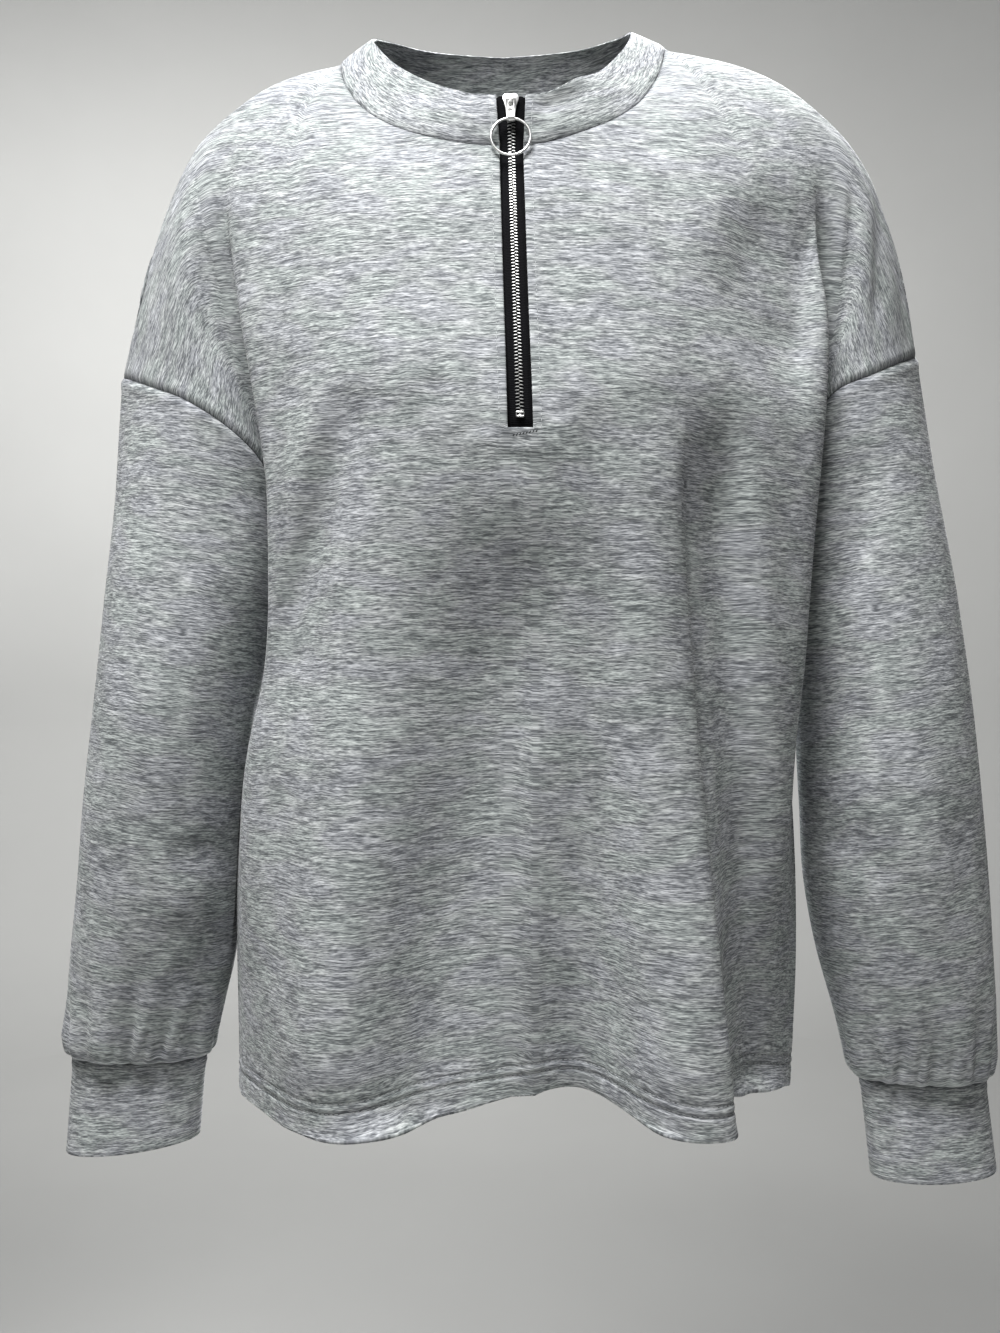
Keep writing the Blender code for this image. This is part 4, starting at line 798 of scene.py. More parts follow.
def build_cloth():
    """Every piece of cloth on one joined surface."""
    cloth = Cloth()
    body = from_axis(*BODY_AXIS)
    fronts = {}
    for name in ("right", "left"):
        loops = {}
        for kind in ("front", "back"):
            main, flat, rise, drop, over = panel_half(kind, name)
            cloth.grids[kind, name] = cloth.add(kind, main, flat, body, JERSEY_WALL, rise=rise)
            cloth.add(kind, drop, over, body, JERSEY_WALL)
            loops[kind] = drop[:, -1]
            if kind == "front":
                fronts[name] = (main, flat, rise)
        loop = np.concatenate([loops["front"], loops["back"][-2:0:-1]])
        sleeve = sleeve_rings(name, loop)
        full = SLEEVE_TOP_ROWS + SLEEVE_ROWS
        flat = ring_flat(sleeve, sleeve[full].mean(axis=0) - sleeve[SLEEVE_TOP_ROWS].mean(axis=0))
        cloth.add("sleeve_" + name, sleeve[:full + 1], flat[:full + 1],
                  from_axis(*sleeve[full].mean(axis=0)[:2]), JERSEY_WALL, closed=True)
        cloth.add("sleeve_" + name, sleeve[full:], flat[full:], downward, JERSEY_WALL, closed=True)
        cuff = np.stack([cuff_ring(name, k / CUFF_ROWS, ring_angles(loop))
                         for k in range(CUFF_ROWS + 1)])
        cloth.add("cuff_" + name, cuff, ring_flat(cuff), from_axis(*cuff[0].mean(axis=0)[:2]),
                  CUFF_WALL, closed=True)
    across = np.linspace(0, 1, STRIP_COLUMNS + 1)[None, :, None]
    strip = []
    for k in range(2):
        start, end = [fronts[name][k][SLOT_END_ROW:, :1] for name in ("right", "left")]
        strip.append(start * (1 - across) + end * across)
    cloth.grids["strip"] = cloth.add("front", *strip, body, JERSEY_WALL,
                                     rise=fronts["right"][2][SLOT_END_ROW:])
    band = collar_rows()
    flat = np.stack([lengths(band, 1), lengths(band, 0)], axis=2)
    cloth.grids["collar"] = cloth.add("collar", band, flat, body, COLLAR_WALL)
    cloth.finish()
    return cloth


# ---------------------------------------------------------------- folds
# A fold follows a path of x and z places, in millimetres, seen from the front, or for the back
# from behind with x still the wearer's left. Height is out from the cloth, or in if negative.
# The spreads are how wide it is on the right and left hand of someone who goes along the path,
# and start and end are the shares of its length over which it fades in and out.
# Columns: path, height, right hand's spread, left hand's spread, start, end.
FRONT_FOLDS = (
    # under the bust, one side and the other, and the hollow between
    (((-122, -226), (-72, -224), (-44, -234), (-17, -257), (1, -270)), 2.2, 14, 30, 0.25, 0.15),
    (((1, -270), (21, -257), (48, -231), (81, -224), (100, -226)), 2.2, 14, 30, 0.15, 0.25),
    (((2, -280), (-6, -368), (-23, -482), (-42, -596), (-48, -640)), -14.0, 36, 35, 0.3, 0.05),
    (((40, -300), (30, -380), (14, -450), (2, -520)), 1.6, 12, 12, 0.4, 0.4),
    # right half: ridge and trough that fall from the bust to the side
    (((-98, -206), (-111, -255), (-125, -308), (-137, -366), (-143, -410)), 4.4, 16, 8, 0.25, 0.4),
    (((-87, -216), (-101, -276), (-117, -333), (-126, -400)), -3.8, 9, 16, 0.25, 0.5),
    (((-44, -219), (-41, -235), (-39, -256)), -2.4, 7, 8, 0.4, 0.5),
    (((-74, -236), (-82, -345), (-88, -455), (-98, -561), (-106, -632)), 6.4, 26, 24, 0.3, 0.1),
    (((-126, -420), (-132, -500), (-134, -580)), -2.0, 12, 10, 0.4, 0.3),
    # left half: the lit fold, its sharp edge and the planes behind it
    (((68, -240), (73, -346), (78, -454), (82, -562), (88, -632)), 5.6, 20, 22, 0.3, 0.1),
    (((90, -222), (92, -290), (96, -367), (100, -422), (105, -482), (112, -556), (120, -640)),
     5.8, 24, 6.0, 0.16, 0.03),
    (((98, -236), (100, -290), (104, -367), (107, -422), (112, -482), (119, -556), (128, -640)),
     -2.6, 4, 8, 0.2, 0.3),
    (((120, -215), (124, -300), (130, -370), (136, -430), (142, -490), (148, -556), (154, -640)),
     -17.0, 32, 11, 0.22, 0.04),
    (((131, -250), (137, -311), (145, -380), (151, -440), (155, -500)), 1.8, 5, 12, 0.3, 0.35),
    (((160, -500), (166, -554), (170, -620)), -2.2, 5, 7, 0.4, 0.2),
    (((168, -78), (150, -122), (130, -166), (104, -202)), -2.6, 16, 17, 0.3, 0.4),
    (((181, -84), (178, -140), (170, -190), (158, -246)), -13.0, 46, 13, 0.38, 0.4),
    (((122, -96), (112, -130), (98, -160)), 1.8, 14, 14, 0.4, 0.4),
    (((63, -300), (67, -400), (68, -482), (66, -592)), 1.0, 4, 10, 0.3, 0.3),
    # small puckers round the zip's end
    (((16, -250), (28, -246), (46, -240)), -0.9, 2.5, 4, 0.3, 0.6),
    (((-13, -252), (-24, -257), (-38, -262)), -0.8, 4, 2.5, 0.3, 0.6),
    (((-9, -262), (2, -266), (16, -263)), 0.7, 3, 3, 0.3, 0.3),
)
BACK_FOLDS = (
    (((-60, -150), (-72, -260), (-78, -400), (-76, -600)), -3.4, 16, 20, 0.35, 0.1),
    (((-96, -330), (-102, -450), (-104, -640)), 2.8, 12, 20, 0.4, 0.05),
    (((40, -180), (34, -300), (30, -420), (26, -620)), -3.0, 18, 14, 0.35, 0.1),
    (((66, -300), (70, -430), (74, -640)), 2.6, 18, 12, 0.4, 0.05),
    (((112, -140), (104, -260), (110, -390), (118, -560)), -3.6, 14, 18, 0.3, 0.3),
    (((-125, -170), (-118, -280), (-126, -380), (-136, -520)), -3.2, 16, 12, 0.3, 0.35),
    (((-20, -230), (-14, -360), (-22, -520)), 2.2, 18, 22, 0.4, 0.35),
    (((-95, -60), (-60, -88), (-10, -96), (50, -86), (88, -58)), -1.8, 12, 16, 0.35, 0.35),
)
# Folds of the dropped shoulders and the sleeves, seen from the front.
ARM_FRONT_FOLDS = (
    (((-186, -100), (-184, -130), (-180, -180), (-172, -214)), -2.4, 8, 6, 0.4, 0.35),
    (((228, -80), (226, -130), (221, -190)), -2.6, 5, 8, 0.35, 0.3),
    (((208, -70), (207, -120), (204, -176)), -2.0, 7, 7, 0.4, 0.4),
    (((217, -236), (212, -294), (202, -350)), -3.4, 10, 12, 0.3, 0.45),
    (((-170, -500), (-190, -491), (-212, -496)), -1.8, 7, 13, 0.4, 0.6),
    (((-176, -508), (-196, -520), (-214, -546)), 2.4, 14, 12, 0.4, 0.5),
    (((-205, -470), (-214, -430), (-216, -370)), 1.6, 18, 20, 0.4, 0.4),
    (((-178, -530), (-186, -560), (-196, -590)), -2.6, 10, 9, 0.4, 0.3),
    (((204, -400), (231, -473), (262, -552)), 2.2, 20, 22, 0.4, 0.4),
    (((196, -470), (214, -500), (240, -520)), -2.2, 10, 12, 0.4, 0.5),
    (((262, -440), (272, -500), (280, -560)), -1.8, 12, 10, 0.4, 0.4),
    # fine gathers above the cuffs
    (((-243, -629), (-240, -610), (-238, -592)), -1.4, 2.0, 3.0, 0.15, 0.7),
    (((-235, -629), (-230, -600), (-225, -576)), -2.3, 2.2, 3.4, 0.15, 0.7),
    (((-226, -629), (-219, -605), (-212, -584)), -1.8, 2.0, 3.0, 0.15, 0.7),
    (((-217, -628), (-210, -603), (-201, -578)), -2.2, 2.2, 3.4, 0.15, 0.7),
    (((-207, -627), (-202, -610), (-196, -594)), -1.7, 2.0, 3.0, 0.15, 0.7),
    (((-198, -626), (-195, -612), (-190, -600)), -1.4, 2.0, 3.0, 0.15, 0.7),
    (((231, -643), (229, -628), (226, -612)), -1.4, 2.0, 3.0, 0.15, 0.7),
    (((239, -643), (240, -620), (240, -600)), -2.2, 2.2, 3.4, 0.15, 0.7),
    (((248, -643), (250, -622), (250, -596)), -2.1, 2.2, 3.4, 0.15, 0.7),
    (((258, -643), (259, -627), (260, -610)), -1.5, 2.0, 3.0, 0.15, 0.7),
    (((268, -642), (269, -622), (270, -602)), -1.8, 2.0, 3.0, 0.15, 0.7),
    (((278, -641), (278, -628), (279, -614)), -0.9, 2.0, 3.0, 0.15, 0.7),
)
ARM_BACK_FOLDS = (
    (((-190, -110), (-196, -160), (-205, -205)), -2.2, 8, 8, 0.4, 0.4),
    (((204, -110), (212, -150), (224, -196)), -2.4, 8, 8, 0.4, 0.4),
    (((-178, -400), (-205, -425), (-240, -430)), -3.0, 9, 12, 0.3, 0.5),
    (((-182, -440), (-208, -452), (-236, -450)), -2.4, 8, 10, 0.3, 0.5),
    (((200, -404), (226, -428), (262, -432)), -2.8, 9, 12, 0.3, 0.5),
    (((206, -446), (230, -458), (256, -452)), -2.2, 8, 10, 0.3, 0.5),
    (((-215, -240), (-222, -300), (-226, -370)), -1.8, 12, 12, 0.4, 0.4),
    (((236, -240), (244, -300), (248, -370)), -1.8, 12, 12, 0.4, 0.4),
    (((-240, -629), (-236, -606), (-230, -584)), -1.4, 2.4, 3.2, 0.15, 0.7),
    (((-227, -629), (-223, -610), (-217, -590)), -1.5, 2.4, 3.2, 0.15, 0.7),
    (((-213, -628), (-208, -606), (-203, -588)), -1.2, 2.4, 3.2, 0.15, 0.7),
    (((-202, -627), (-198, -612), (-194, -600)), -1.0, 2.4, 3.2, 0.15, 0.7),
    (((236, -643), (236, -622), (235, -604)), -1.3, 2.4, 3.2, 0.15, 0.7),
    (((250, -643), (251, -618), (252, -598)), -1.5, 2.4, 3.2, 0.15, 0.7),
    (((263, -642), (265, -622), (266, -606)), -1.2, 2.4, 3.2, 0.15, 0.7),
    (((274, -642), (275, -626), (276, -612)), -1.0, 2.4, 3.2, 0.15, 0.7),
)
COLLAR_FOLDS = (
    (((-32, -50), (-25, -57), (-15, -64)), -1.6, 4, 6, 0.35, 0.35),
    (((-48, -44), (-45, -52), (-42, -62)), -1.0, 3, 4, 0.4, 0.4),
    (((13, -65), (26, -58), (40, -49), (50, -42)), -2.2, 5, 6, 0.2, 0.4),
    (((18, -54), (28, -49), (38, -43)), 0.8, 4, 4, 0.4, 0.4),
)
FOLD_SAMPLES = 41
# How many spreads away from its path a fold is still worked out.
FOLD_REACH = 3

# Where the front's folds give way to the back's, and over what depth.
FACE_START = -8.0
FACE_DEPTH = 26.0


def smooth_step(value):
    """0 up to 0, 1 from 1, and a soft slope between."""
    t = np.clip(value, 0, 1)
    return t * t * (3 - 2 * t)


def fold_height(places, fold):
    """How far one fold moves the cloth at each x and z place."""
    path, height, right_hand, left_hand, start, end = fold
    path = np.array(path, float)
    steps = path_lengths(path)
    line = smooth_curve(steps / steps[-1], path, np.linspace(0, 1, FOLD_SAMPLES))
    reach = FOLD_REACH * max(right_hand, left_hand)
    near = ((places > line.min(axis=0) - reach) & (places < line.max(axis=0) + reach)).all(axis=1)
    runs = np.diff(line, axis=0)
    away = places[near][:, None] - line[None, :-1]
    part = np.clip((away * runs).sum(axis=2) / (runs ** 2).sum(axis=1), 0, 1)
    away -= part[..., None] * runs
    distance = np.linalg.norm(away, axis=2)
    closest = distance.argmin(axis=1)
    each = np.arange(len(closest))
    offset, run = away[each, closest], runs[closest]
    side = offset[:, 0] * run[:, 1] - offset[:, 1] * run[:, 0]
    share = (closest + part[each, closest]) / (FOLD_SAMPLES - 1)
    fade = smooth_step(share / start) * smooth_step((1 - share) / end)
    spread = np.where(side > 0, right_hand, left_hand)
    result = np.zeros(len(places))
    result[near] = height * fade * np.exp(-(distance[each, closest] / spread) ** 2)
    return result


def fold_cloth(cloth, members, folds, facing):
    """Moves the cloth out and in along its normals, on the side that it faces."""
    weight = smooth_step((facing * cloth.points[members, 1] - FACE_START) / FACE_DEPTH)
    normals = cloth.normals()[members]
    places = cloth.points[members][:, (0, 2)]
    total = sum(fold_height(places, fold) for fold in folds)
    cloth.points[members] += normals * (total * weight)[:, None]


# ---------------------------------------------------------------- seams and edges
# Seams: how far they sink and how widely, the puff beside them, the neck seam's share of it, and the
# width of the painted shade that darkens the colour along each seam's line.
SEAM_DEPTH = 1.0
SEAM_WIDTH = 1.5
SEAM_PUFF = 0.7
PUFF_PLACE = 4.5
PUFF_WIDTH = 2.6
NECK_SEAM = 0.4
SEAM_PAINTED_SHADE_WIDTH = 1.0
# The hem's needle lines, by their height above its edge, how deep and wide their grooves are, the
# painted shade that darkens the colour in those grooves, and the band between and below them.
NEEDLE_LINES = (14.5, 20.0)
NEEDLE_DEPTH = 0.55
NEEDLE_WIDTH = 1.1
NEEDLE_PAINTED_SHADE = 0.55
BAND_RISE = 0.25
SMOOTHING_ROUNDS = 30
# The right side's swell: how far, from what distance out and over what width, at what level and
# how far above and below it, and how far behind the middle it fades out.
SWELL = 7.5
SWELL_FROM = 110.0
SWELL_WIDTH = 40.0
SWELL_LEVEL = -480.0
SWELL_SPREAD = 105.0
SWELL_BEHIND = 30.0


def seam_relief(cloth):
    """Sinks each seam and lifts the cloth beside it, less so round the neck, and paints shade into
    the colour along every seam's sunk line.
    """
    neck = np.intersect1d(cloth.seam, cloth.grids["collar"])
    relief = 0
    cloth.shade = np.zeros(len(cloth.points))
    for members, strength in ((neck, NECK_SEAM), (np.setdiff1d(cloth.seam, neck), 1.0)):
        distance = cloth.distance(members)
        relief = relief + strength * (
            SEAM_PUFF * np.exp(-((distance - PUFF_PLACE) / PUFF_WIDTH) ** 2)
            - SEAM_DEPTH * np.exp(-(distance / SEAM_WIDTH) ** 2))
        # Painted shade: darker colour along the seam's line, where its groove would lie in shadow.
        cloth.shade = np.maximum(cloth.shade, np.exp(-(distance / SEAM_PAINTED_SHADE_WIDTH) ** 2))
    return relief


def hem_relief(cloth):
    """The two needle lines of the hem, with painted shade in their grooves, and the slightly raised
    band between them.
    """
    relief = np.zeros(len(cloth.points))
    for line in NEEDLE_LINES:
        groove = np.exp(-((cloth.height - line) / NEEDLE_WIDTH) ** 2)
        relief -= NEEDLE_DEPTH * groove
        # Painted shade in the needle line's groove.
        cloth.shade = np.maximum(cloth.shade, NEEDLE_PAINTED_SHADE * groove)
    lower, upper = NEEDLE_LINES
    half = (upper - lower) / 2
    relief += BAND_RISE * np.exp(-((cloth.height - (lower + upper) / 2) / half) ** 4)
    return relief + BAND_RISE * smooth_step((lower - cloth.height) / half)


def side_swell(cloth, members):
    """Lets the right side of the body swell out to the arm below the elbow's height."""
    x, y, z = cloth.points[members].T
    reach = smooth_step((-x - SWELL_FROM) / SWELL_WIDTH)
    level = np.exp(-((z - SWELL_LEVEL) / SWELL_SPREAD) ** 2)
    return -SWELL * reach * level * smooth_step((SWELL_BEHIND - y) / SWELL_BEHIND)


def dress_cloth(cloth):
    """Gives the plain form its softness, folds, seams and hem."""
    body = np.unique(cloth.quads[np.isin(cloth.owner, ("front", "back"))])
    main = np.array(sorted(cloth.main))
    arms = np.setdiff1d(np.arange(len(cloth.points)), main)
    free = np.zeros(len(cloth.points))
    free[body] = 1
    free[np.union1d(cloth.seam, cloth.rim)] = 0
    cloth.smooth(SMOOTHING_ROUNDS, free)
    cloth.points[body, 0] += side_swell(cloth, body)
    fold_cloth(cloth, body, FRONT_FOLDS, -1)
    fold_cloth(cloth, body, BACK_FOLDS, 1)
    fold_cloth(cloth, arms, ARM_FRONT_FOLDS, -1)
    fold_cloth(cloth, arms, ARM_BACK_FOLDS, 1)
    fold_cloth(cloth, np.unique(cloth.grids["collar"]), COLLAR_FOLDS, -1)
    relief = seam_relief(cloth) + hem_relief(cloth)
    cloth.points += cloth.normals() * relief[:, None]


# ---------------------------------------------------------------- shells
# Steps round a free edge, how far a piece keeps from a seam's line, the height over which the
# hem's wall gives way to the single cloth, and the angle in degrees from which an edge is sharp.
RIM_STEPS = 4
SEAM_PULL = 0.12
HEM_FADE = 2.0
SHARP_ANGLE = 60


def wall_of(cloth, piece_wall, used):
    """Wall of a piece at each of its points: the turned-up hem is double."""
    in_hem = smooth_step((NEEDLE_LINES[1] + HEM_FADE / 2 - cloth.height[used]) / HEM_FADE)
    return piece_wall + (HEM_WALL - piece_wall) * in_hem * (cloth.height[used] < HEM_BAND)


def cloth_shell(cloth, piece, normals):
    """One piece as a closed thin wall with rounded free edges."""
    patches = [patch for patch in cloth.patches if patch[0] == piece]
    quads = np.concatenate([patch[1] for patch in patches])
    uvs = np.concatenate([patch[2] for patch in patches])
    used, local = np.unique(quads, return_inverse=True)
    local = local.reshape(quads.shape)
    count = len(used)
    wall = wall_of(cloth, patches[0][3], used)[:, None]
    up = normals[used]

    starts = local.ravel()
    ends = np.roll(local, -1, axis=1).ravel()
    uv_start = uvs.reshape(-1, 2)
    uv_end = np.roll(uvs, -1, axis=1).reshape(-1, 2)
    real = starts != ends
    forward = starts.astype(np.int64) * count + ends
    back = ends.astype(np.int64) * count + starts
    edge = real & ~np.isin(forward, back[real])
    a, b = starts[edge], ends[edge]
    uv_a, uv_b = uv_start[edge], uv_end[edge]

    outer = cloth.points[used].copy()
    rim = np.unique(np.concatenate([a, b]))
    place = np.full(count, -1)
    place[rim] = np.arange(len(rim))
    away = np.zeros((count, 3))
    tangent = unit(outer[b] - outer[a], TINY)
    for ends_at in (a, b):
        np.add.at(away, ends_at, np.cross(tangent, up[ends_at]))
    away = unit(away[rim], TINY)
    seam = np.isin(used[rim], cloth.seam)
    outer[rim] -= away * np.where(seam, SEAM_PULL, wall[rim, 0] / 2)[:, None]
    inner = outer - up * wall
    rings = []
    for k in range(1, RIM_STEPS):
        turn = math.pi * k / RIM_STEPS
        bulge = np.where(seam, 0.0, wall[rim, 0] / 2 * math.sin(turn))[:, None]
        rings.append(outer[rim] - up[rim] * wall[rim] * (1 - math.cos(turn)) / 2 + away * bulge)
    points = np.concatenate([outer, inner, *rings])

    def level(k, i):
        """Number of a rim point on the outer side, a ring between or the inner side."""
        if k == 0:
            return i
        if k == RIM_STEPS:
            return i + count
        return 2 * count + (k - 1) * len(rim) + place[i]

    faces = [local, local[:, ::-1] + count]
    corner_uvs = [uvs, uvs[:, ::-1]]
    for k in range(RIM_STEPS):
        faces.append(np.stack([level(k, b), level(k, a), level(k + 1, a), level(k + 1, b)], axis=1))
        corner_uvs.append(np.stack([uv_b, uv_a, uv_a, uv_b], axis=1))
    # Painted shade of the seams and needle lines, carried to the outer, inner and rim points.
    shade = cloth.shade[used]
    shades = np.concatenate([shade, shade, *[shade[rim]] * (RIM_STEPS - 1)])
    return points, np.concatenate(faces), np.concatenate(corner_uvs), shades


def mesh_object(name, points, faces, finish, uvs=None, shades=None, sharp=SHARP_ANGLE):
    """A smooth mesh object of quads or triangles, in metres, with its flat places as a UV map."""
    mesh = bpy.data.meshes.new(name)
    lists = []
    flat_uvs = []
    for k, face in enumerate(faces):
        keep = [j for j in range(len(face)) if face[j] != face[j - 1]]
        lists.append([int(face[j]) for j in keep])
        if uvs is not None:
            flat_uvs.extend(uvs[k][j] for j in keep)
    mesh.from_pydata((np.asarray(points) * MM).tolist(), [], lists)
    if uvs is not None:
        layer = mesh.uv_layers.new(name="flat")
        layer.data.foreach_set("uv", (np.array(flat_uvs) * MM).ravel())
    # Painted shade of the seams and needle lines, kept as the point attribute named seam.
    if shades is not None:
        attribute = mesh.attributes.new("seam", "FLOAT", "POINT")
        attribute.data.foreach_set("value", np.asarray(shades, float))
    mesh.update()
    made = bpy.data.objects.new(name, mesh)
    bpy.context.scene.collection.objects.link(made)
    mesh.materials.append(finish)
    mesh.shade_smooth()
    mesh.set_sharp_from_angle(angle=math.radians(sharp))
    return made


# Flat size of what shows of each cut piece: width and length in metres, area in square metres.
SHEETS = (
    ("front", 0.70, 0.66, 0.31),
    ("back", 0.70, 0.68, 0.325),
    ("sleeve_right", 0.40, 0.44, 0.133),
    ("sleeve_left", 0.40, 0.46, 0.142),
    ("cuff_right", 0.20, 0.06, 0.0119),
    ("cuff_left", 0.20, 0.062, 0.0123),
    ("collar", 0.51, 0.036, 0.018),
)


def make_cloth(cloth, finish):
    """Every cloth piece in place of its solid."""
    normals = cloth.normals()
    for piece, width, length, area in SHEETS:
        points, faces, uvs, shades = cloth_shell(cloth, piece, normals)
        cloth_piece = mesh_object(piece + "_cloth", points, faces, finish, uvs, shades)
        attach(cloth_piece, "garment")
        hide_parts(piece)


# ---------------------------------------------------------------- materials
class Nodes:
    """Short ways to add nodes to a new material."""

    def __init__(self, name):
        self.material = bpy.data.materials.new(name)
        self.material.use_nodes = True
        self.tree = self.material.node_tree
        self.shader = self.tree.nodes["Principled BSDF"]

    def put(self, socket, value):
        """Gives a socket a value, or a link to another node's result."""
        if isinstance(value, bpy.types.NodeSocket):
            self.tree.links.new(value, socket)
        else:
            socket.default_value = value

    def add(self, kind, **values):
        """A node with the given properties and inputs."""
        node = self.tree.nodes.new(kind)
        for key, value in values.items():
            if key in node.inputs:
                self.put(node.inputs[key], value)
            else:
                setattr(node, key, value)
        return node

    def math(self, operation, *values, kind="ShaderNodeMath"):
        """A math node's result."""
        node = self.add(kind, operation=operation)
        for socket, value in zip(node.inputs, values):
            self.put(socket, value)
        return node.outputs[0]

    def set(self, **values):
        """Values or links for the shader's own sockets."""
        for key, value in values.items():
            self.put(self.shader.inputs[key.replace("_", " ")], value)


def ramp(nodes, factor, stops):
    """The colour of a ramp with the given places and colours."""
    node = nodes.add("ShaderNodeValToRGB", Fac=factor)
    elements = node.color_ramp.elements
    while len(elements) < len(stops):
        elements.new(0.5)
    for element, (place, colour) in zip(elements, stops):
        element.position = place
        element.color = (*colour, 1.0)
    return node.outputs["Color"]


def multiplied(nodes, factor, first, second):
    """Two colours multiplied, as far as the factor says."""
    return nodes.add("ShaderNodeMix", data_type="RGBA", blend_type="MULTIPLY", Factor=factor,
                     A=first, B=second).outputs["Result"]


def flat_noise(nodes, flat, scale, detail=1.0, shift=(0.0, 0.0, 0.0), roughness=0.5):
    """Noise on the flat cloth, with how many of its waves go to a metre each way."""
    place = nodes.add("ShaderNodeMapping", Vector=flat, Scale=scale, Location=shift)
    return nodes.add("ShaderNodeTexNoise", noise_dimensions="2D", Vector=place.outputs["Vector"],
                     Scale=1.0, Detail=detail, Roughness=roughness).outputs["Fac"]


def object_noise(nodes, scale, detail):
    """Noise through an object, with how many of its waves go to a metre."""
    place = nodes.add("ShaderNodeTexCoord").outputs["Object"]
    return nodes.add("ShaderNodeTexNoise", Vector=place, Scale=scale, Detail=detail).outputs["Fac"]


# Streaks of the heather: how many to a metre along the courses and down them, their weight and
# their detail. Each noise is read from another place than the one before, and is this rough.
STREAKS = (
    (92.0, 1050.0, 1.35, 2.0),
    (270.0, 2300.0, 0.95, 1.0),
    (36.0, 330.0, 0.55, 2.0),
    (9.0, 26.0, 0.16, 1.0),
)
STREAK_SHIFT = np.array((3.7, 1.9, 0.0))
STREAK_ROUGHNESS = 0.6
# How far the courses wander, in metres, and how many times to a metre.
WANDER = 0.003
WANDER_SCALE = 38.0
HEATHER_STOPS = (
    (0.18, (0.160, 0.170, 0.178)),
    (0.38, (0.272, 0.284, 0.292)),
    (0.52, (0.382, 0.397, 0.404)),
    (0.68, (0.505, 0.522, 0.526)),
    (0.86, (0.680, 0.698, 0.698)),
)
# Faint drifts of violet and green.
TINT_SCALE = (26.0, 60.0, 1.0)
TINT_STOPS = (
    (0.36, (0.992, 0.985, 1.018)),
    (0.50, (1.0, 1.0, 1.0)),
    (0.64, (0.985, 1.01, 0.99)),
)
# Painted shade along seams and the hem's needle lines: the colour multiplied in, and how strongly.
SEAM_PAINTED_SHADE = (0.45, 0.45, 0.47, 1.0)
SEAM_PAINTED_SHADE_STRENGTH = 0.7

# Woven tape: the scales of its weave and of its ribs, the ribs' weight, and its colours.
WEAVE_SCALE = (1500.0, 1900.0, 1.0)
RIB_SCALE = 320.0
RIB_WEIGHT = 0.7
TAPE_STOPS = ((0.3, (0.004, 0.004, 0.005)), (1.0, (0.014, 0.014, 0.016)))

# Metal: its colour and roughness, those of the teeth, and how the rubbed patches change them.
METAL_LOOK = ((0.88, 0.88, 0.87), 0.33)
TOOTH_LOOK = ((0.62, 0.62, 0.61), 0.42)
RUBBED_SCALE = 900.0
RUBBED_LESS = 0.05
RUBBED_MORE = 0.08

FLOOR_COLOUR = (0.36, 0.36, 0.353)
FLOOR_DARKER = 0.965
FLOOR_GRAIN = 3.0


def heather_jersey():
    """Grey melange jersey: fine streaks of dark and light fibre along the courses, with painted
    shade along the seams and needle lines.
    """
    nodes = Nodes("heather_jersey")
    flat = nodes.add("ShaderNodeUVMap", uv_map="flat").outputs["UV"]
    drift = nodes.add("ShaderNodeTexNoise", noise_dimensions="2D", Vector=flat,
                      Scale=WANDER_SCALE, Detail=1.0).outputs["Fac"]
    away = nodes.math("MULTIPLY", nodes.math("SUBTRACT", drift, 0.5), WANDER)
    shift = nodes.add("ShaderNodeCombineXYZ", Y=away).outputs["Vector"]
    flat = nodes.math("ADD", flat, shift, kind="ShaderNodeVectorMath")
    total = 0.0
    for k, (along, down, weight, detail) in enumerate(STREAKS):
        noise = flat_noise(nodes, flat, (along, down, 1.0), detail, STREAK_SHIFT * k,
                           STREAK_ROUGHNESS)
        part = nodes.math("MULTIPLY", nodes.math("SUBTRACT", noise, 0.5), weight)
        total = nodes.math("ADD", total, part)
    streak = nodes.math("ADD", total, 0.5)
    tints = ramp(nodes, flat_noise(nodes, flat, TINT_SCALE), TINT_STOPS)
    tinted = multiplied(nodes, 1.0, ramp(nodes, streak, HEATHER_STOPS), tints)
    # Painted shade: the colour is darkened along seams and needle lines.
    seam = nodes.add("ShaderNodeAttribute", attribute_name="seam").outputs["Fac"]
    shaded = multiplied(nodes, nodes.math("MULTIPLY", seam, SEAM_PAINTED_SHADE_STRENGTH), tinted, SEAM_PAINTED_SHADE)
    bump = nodes.add("ShaderNodeBump", Strength=0.35, Distance=0.0004, Height=streak)
    nodes.set(Base_Color=shaded, Roughness=0.93, Sheen_Weight=0.12, Sheen_Roughness=0.5,
              Specular_IOR_Level=0.25, Normal=bump.outputs["Normal"])
    return nodes.material


def black_tape():
    """Woven black tape with fine ribs across it."""
    nodes = Nodes("black_tape")
    flat = nodes.add("ShaderNodeUVMap", uv_map="flat").outputs["UV"]
    weave = flat_noise(nodes, flat, WEAVE_SCALE)
    ribs = nodes.add("ShaderNodeTexWave", wave_type="BANDS", bands_direction="Y", Vector=flat,
                     Scale=RIB_SCALE, Distortion=0.6).outputs["Fac"]
    height = nodes.math("ADD", nodes.math("MULTIPLY", ribs, RIB_WEIGHT), weave)
    bump = nodes.add("ShaderNodeBump", Strength=0.5, Distance=0.0003, Height=height)
    nodes.set(Base_Color=ramp(nodes, height, TAPE_STOPS), Roughness=0.95,
              Specular_IOR_Level=0.12, Normal=bump.outputs["Normal"])
    return nodes.material


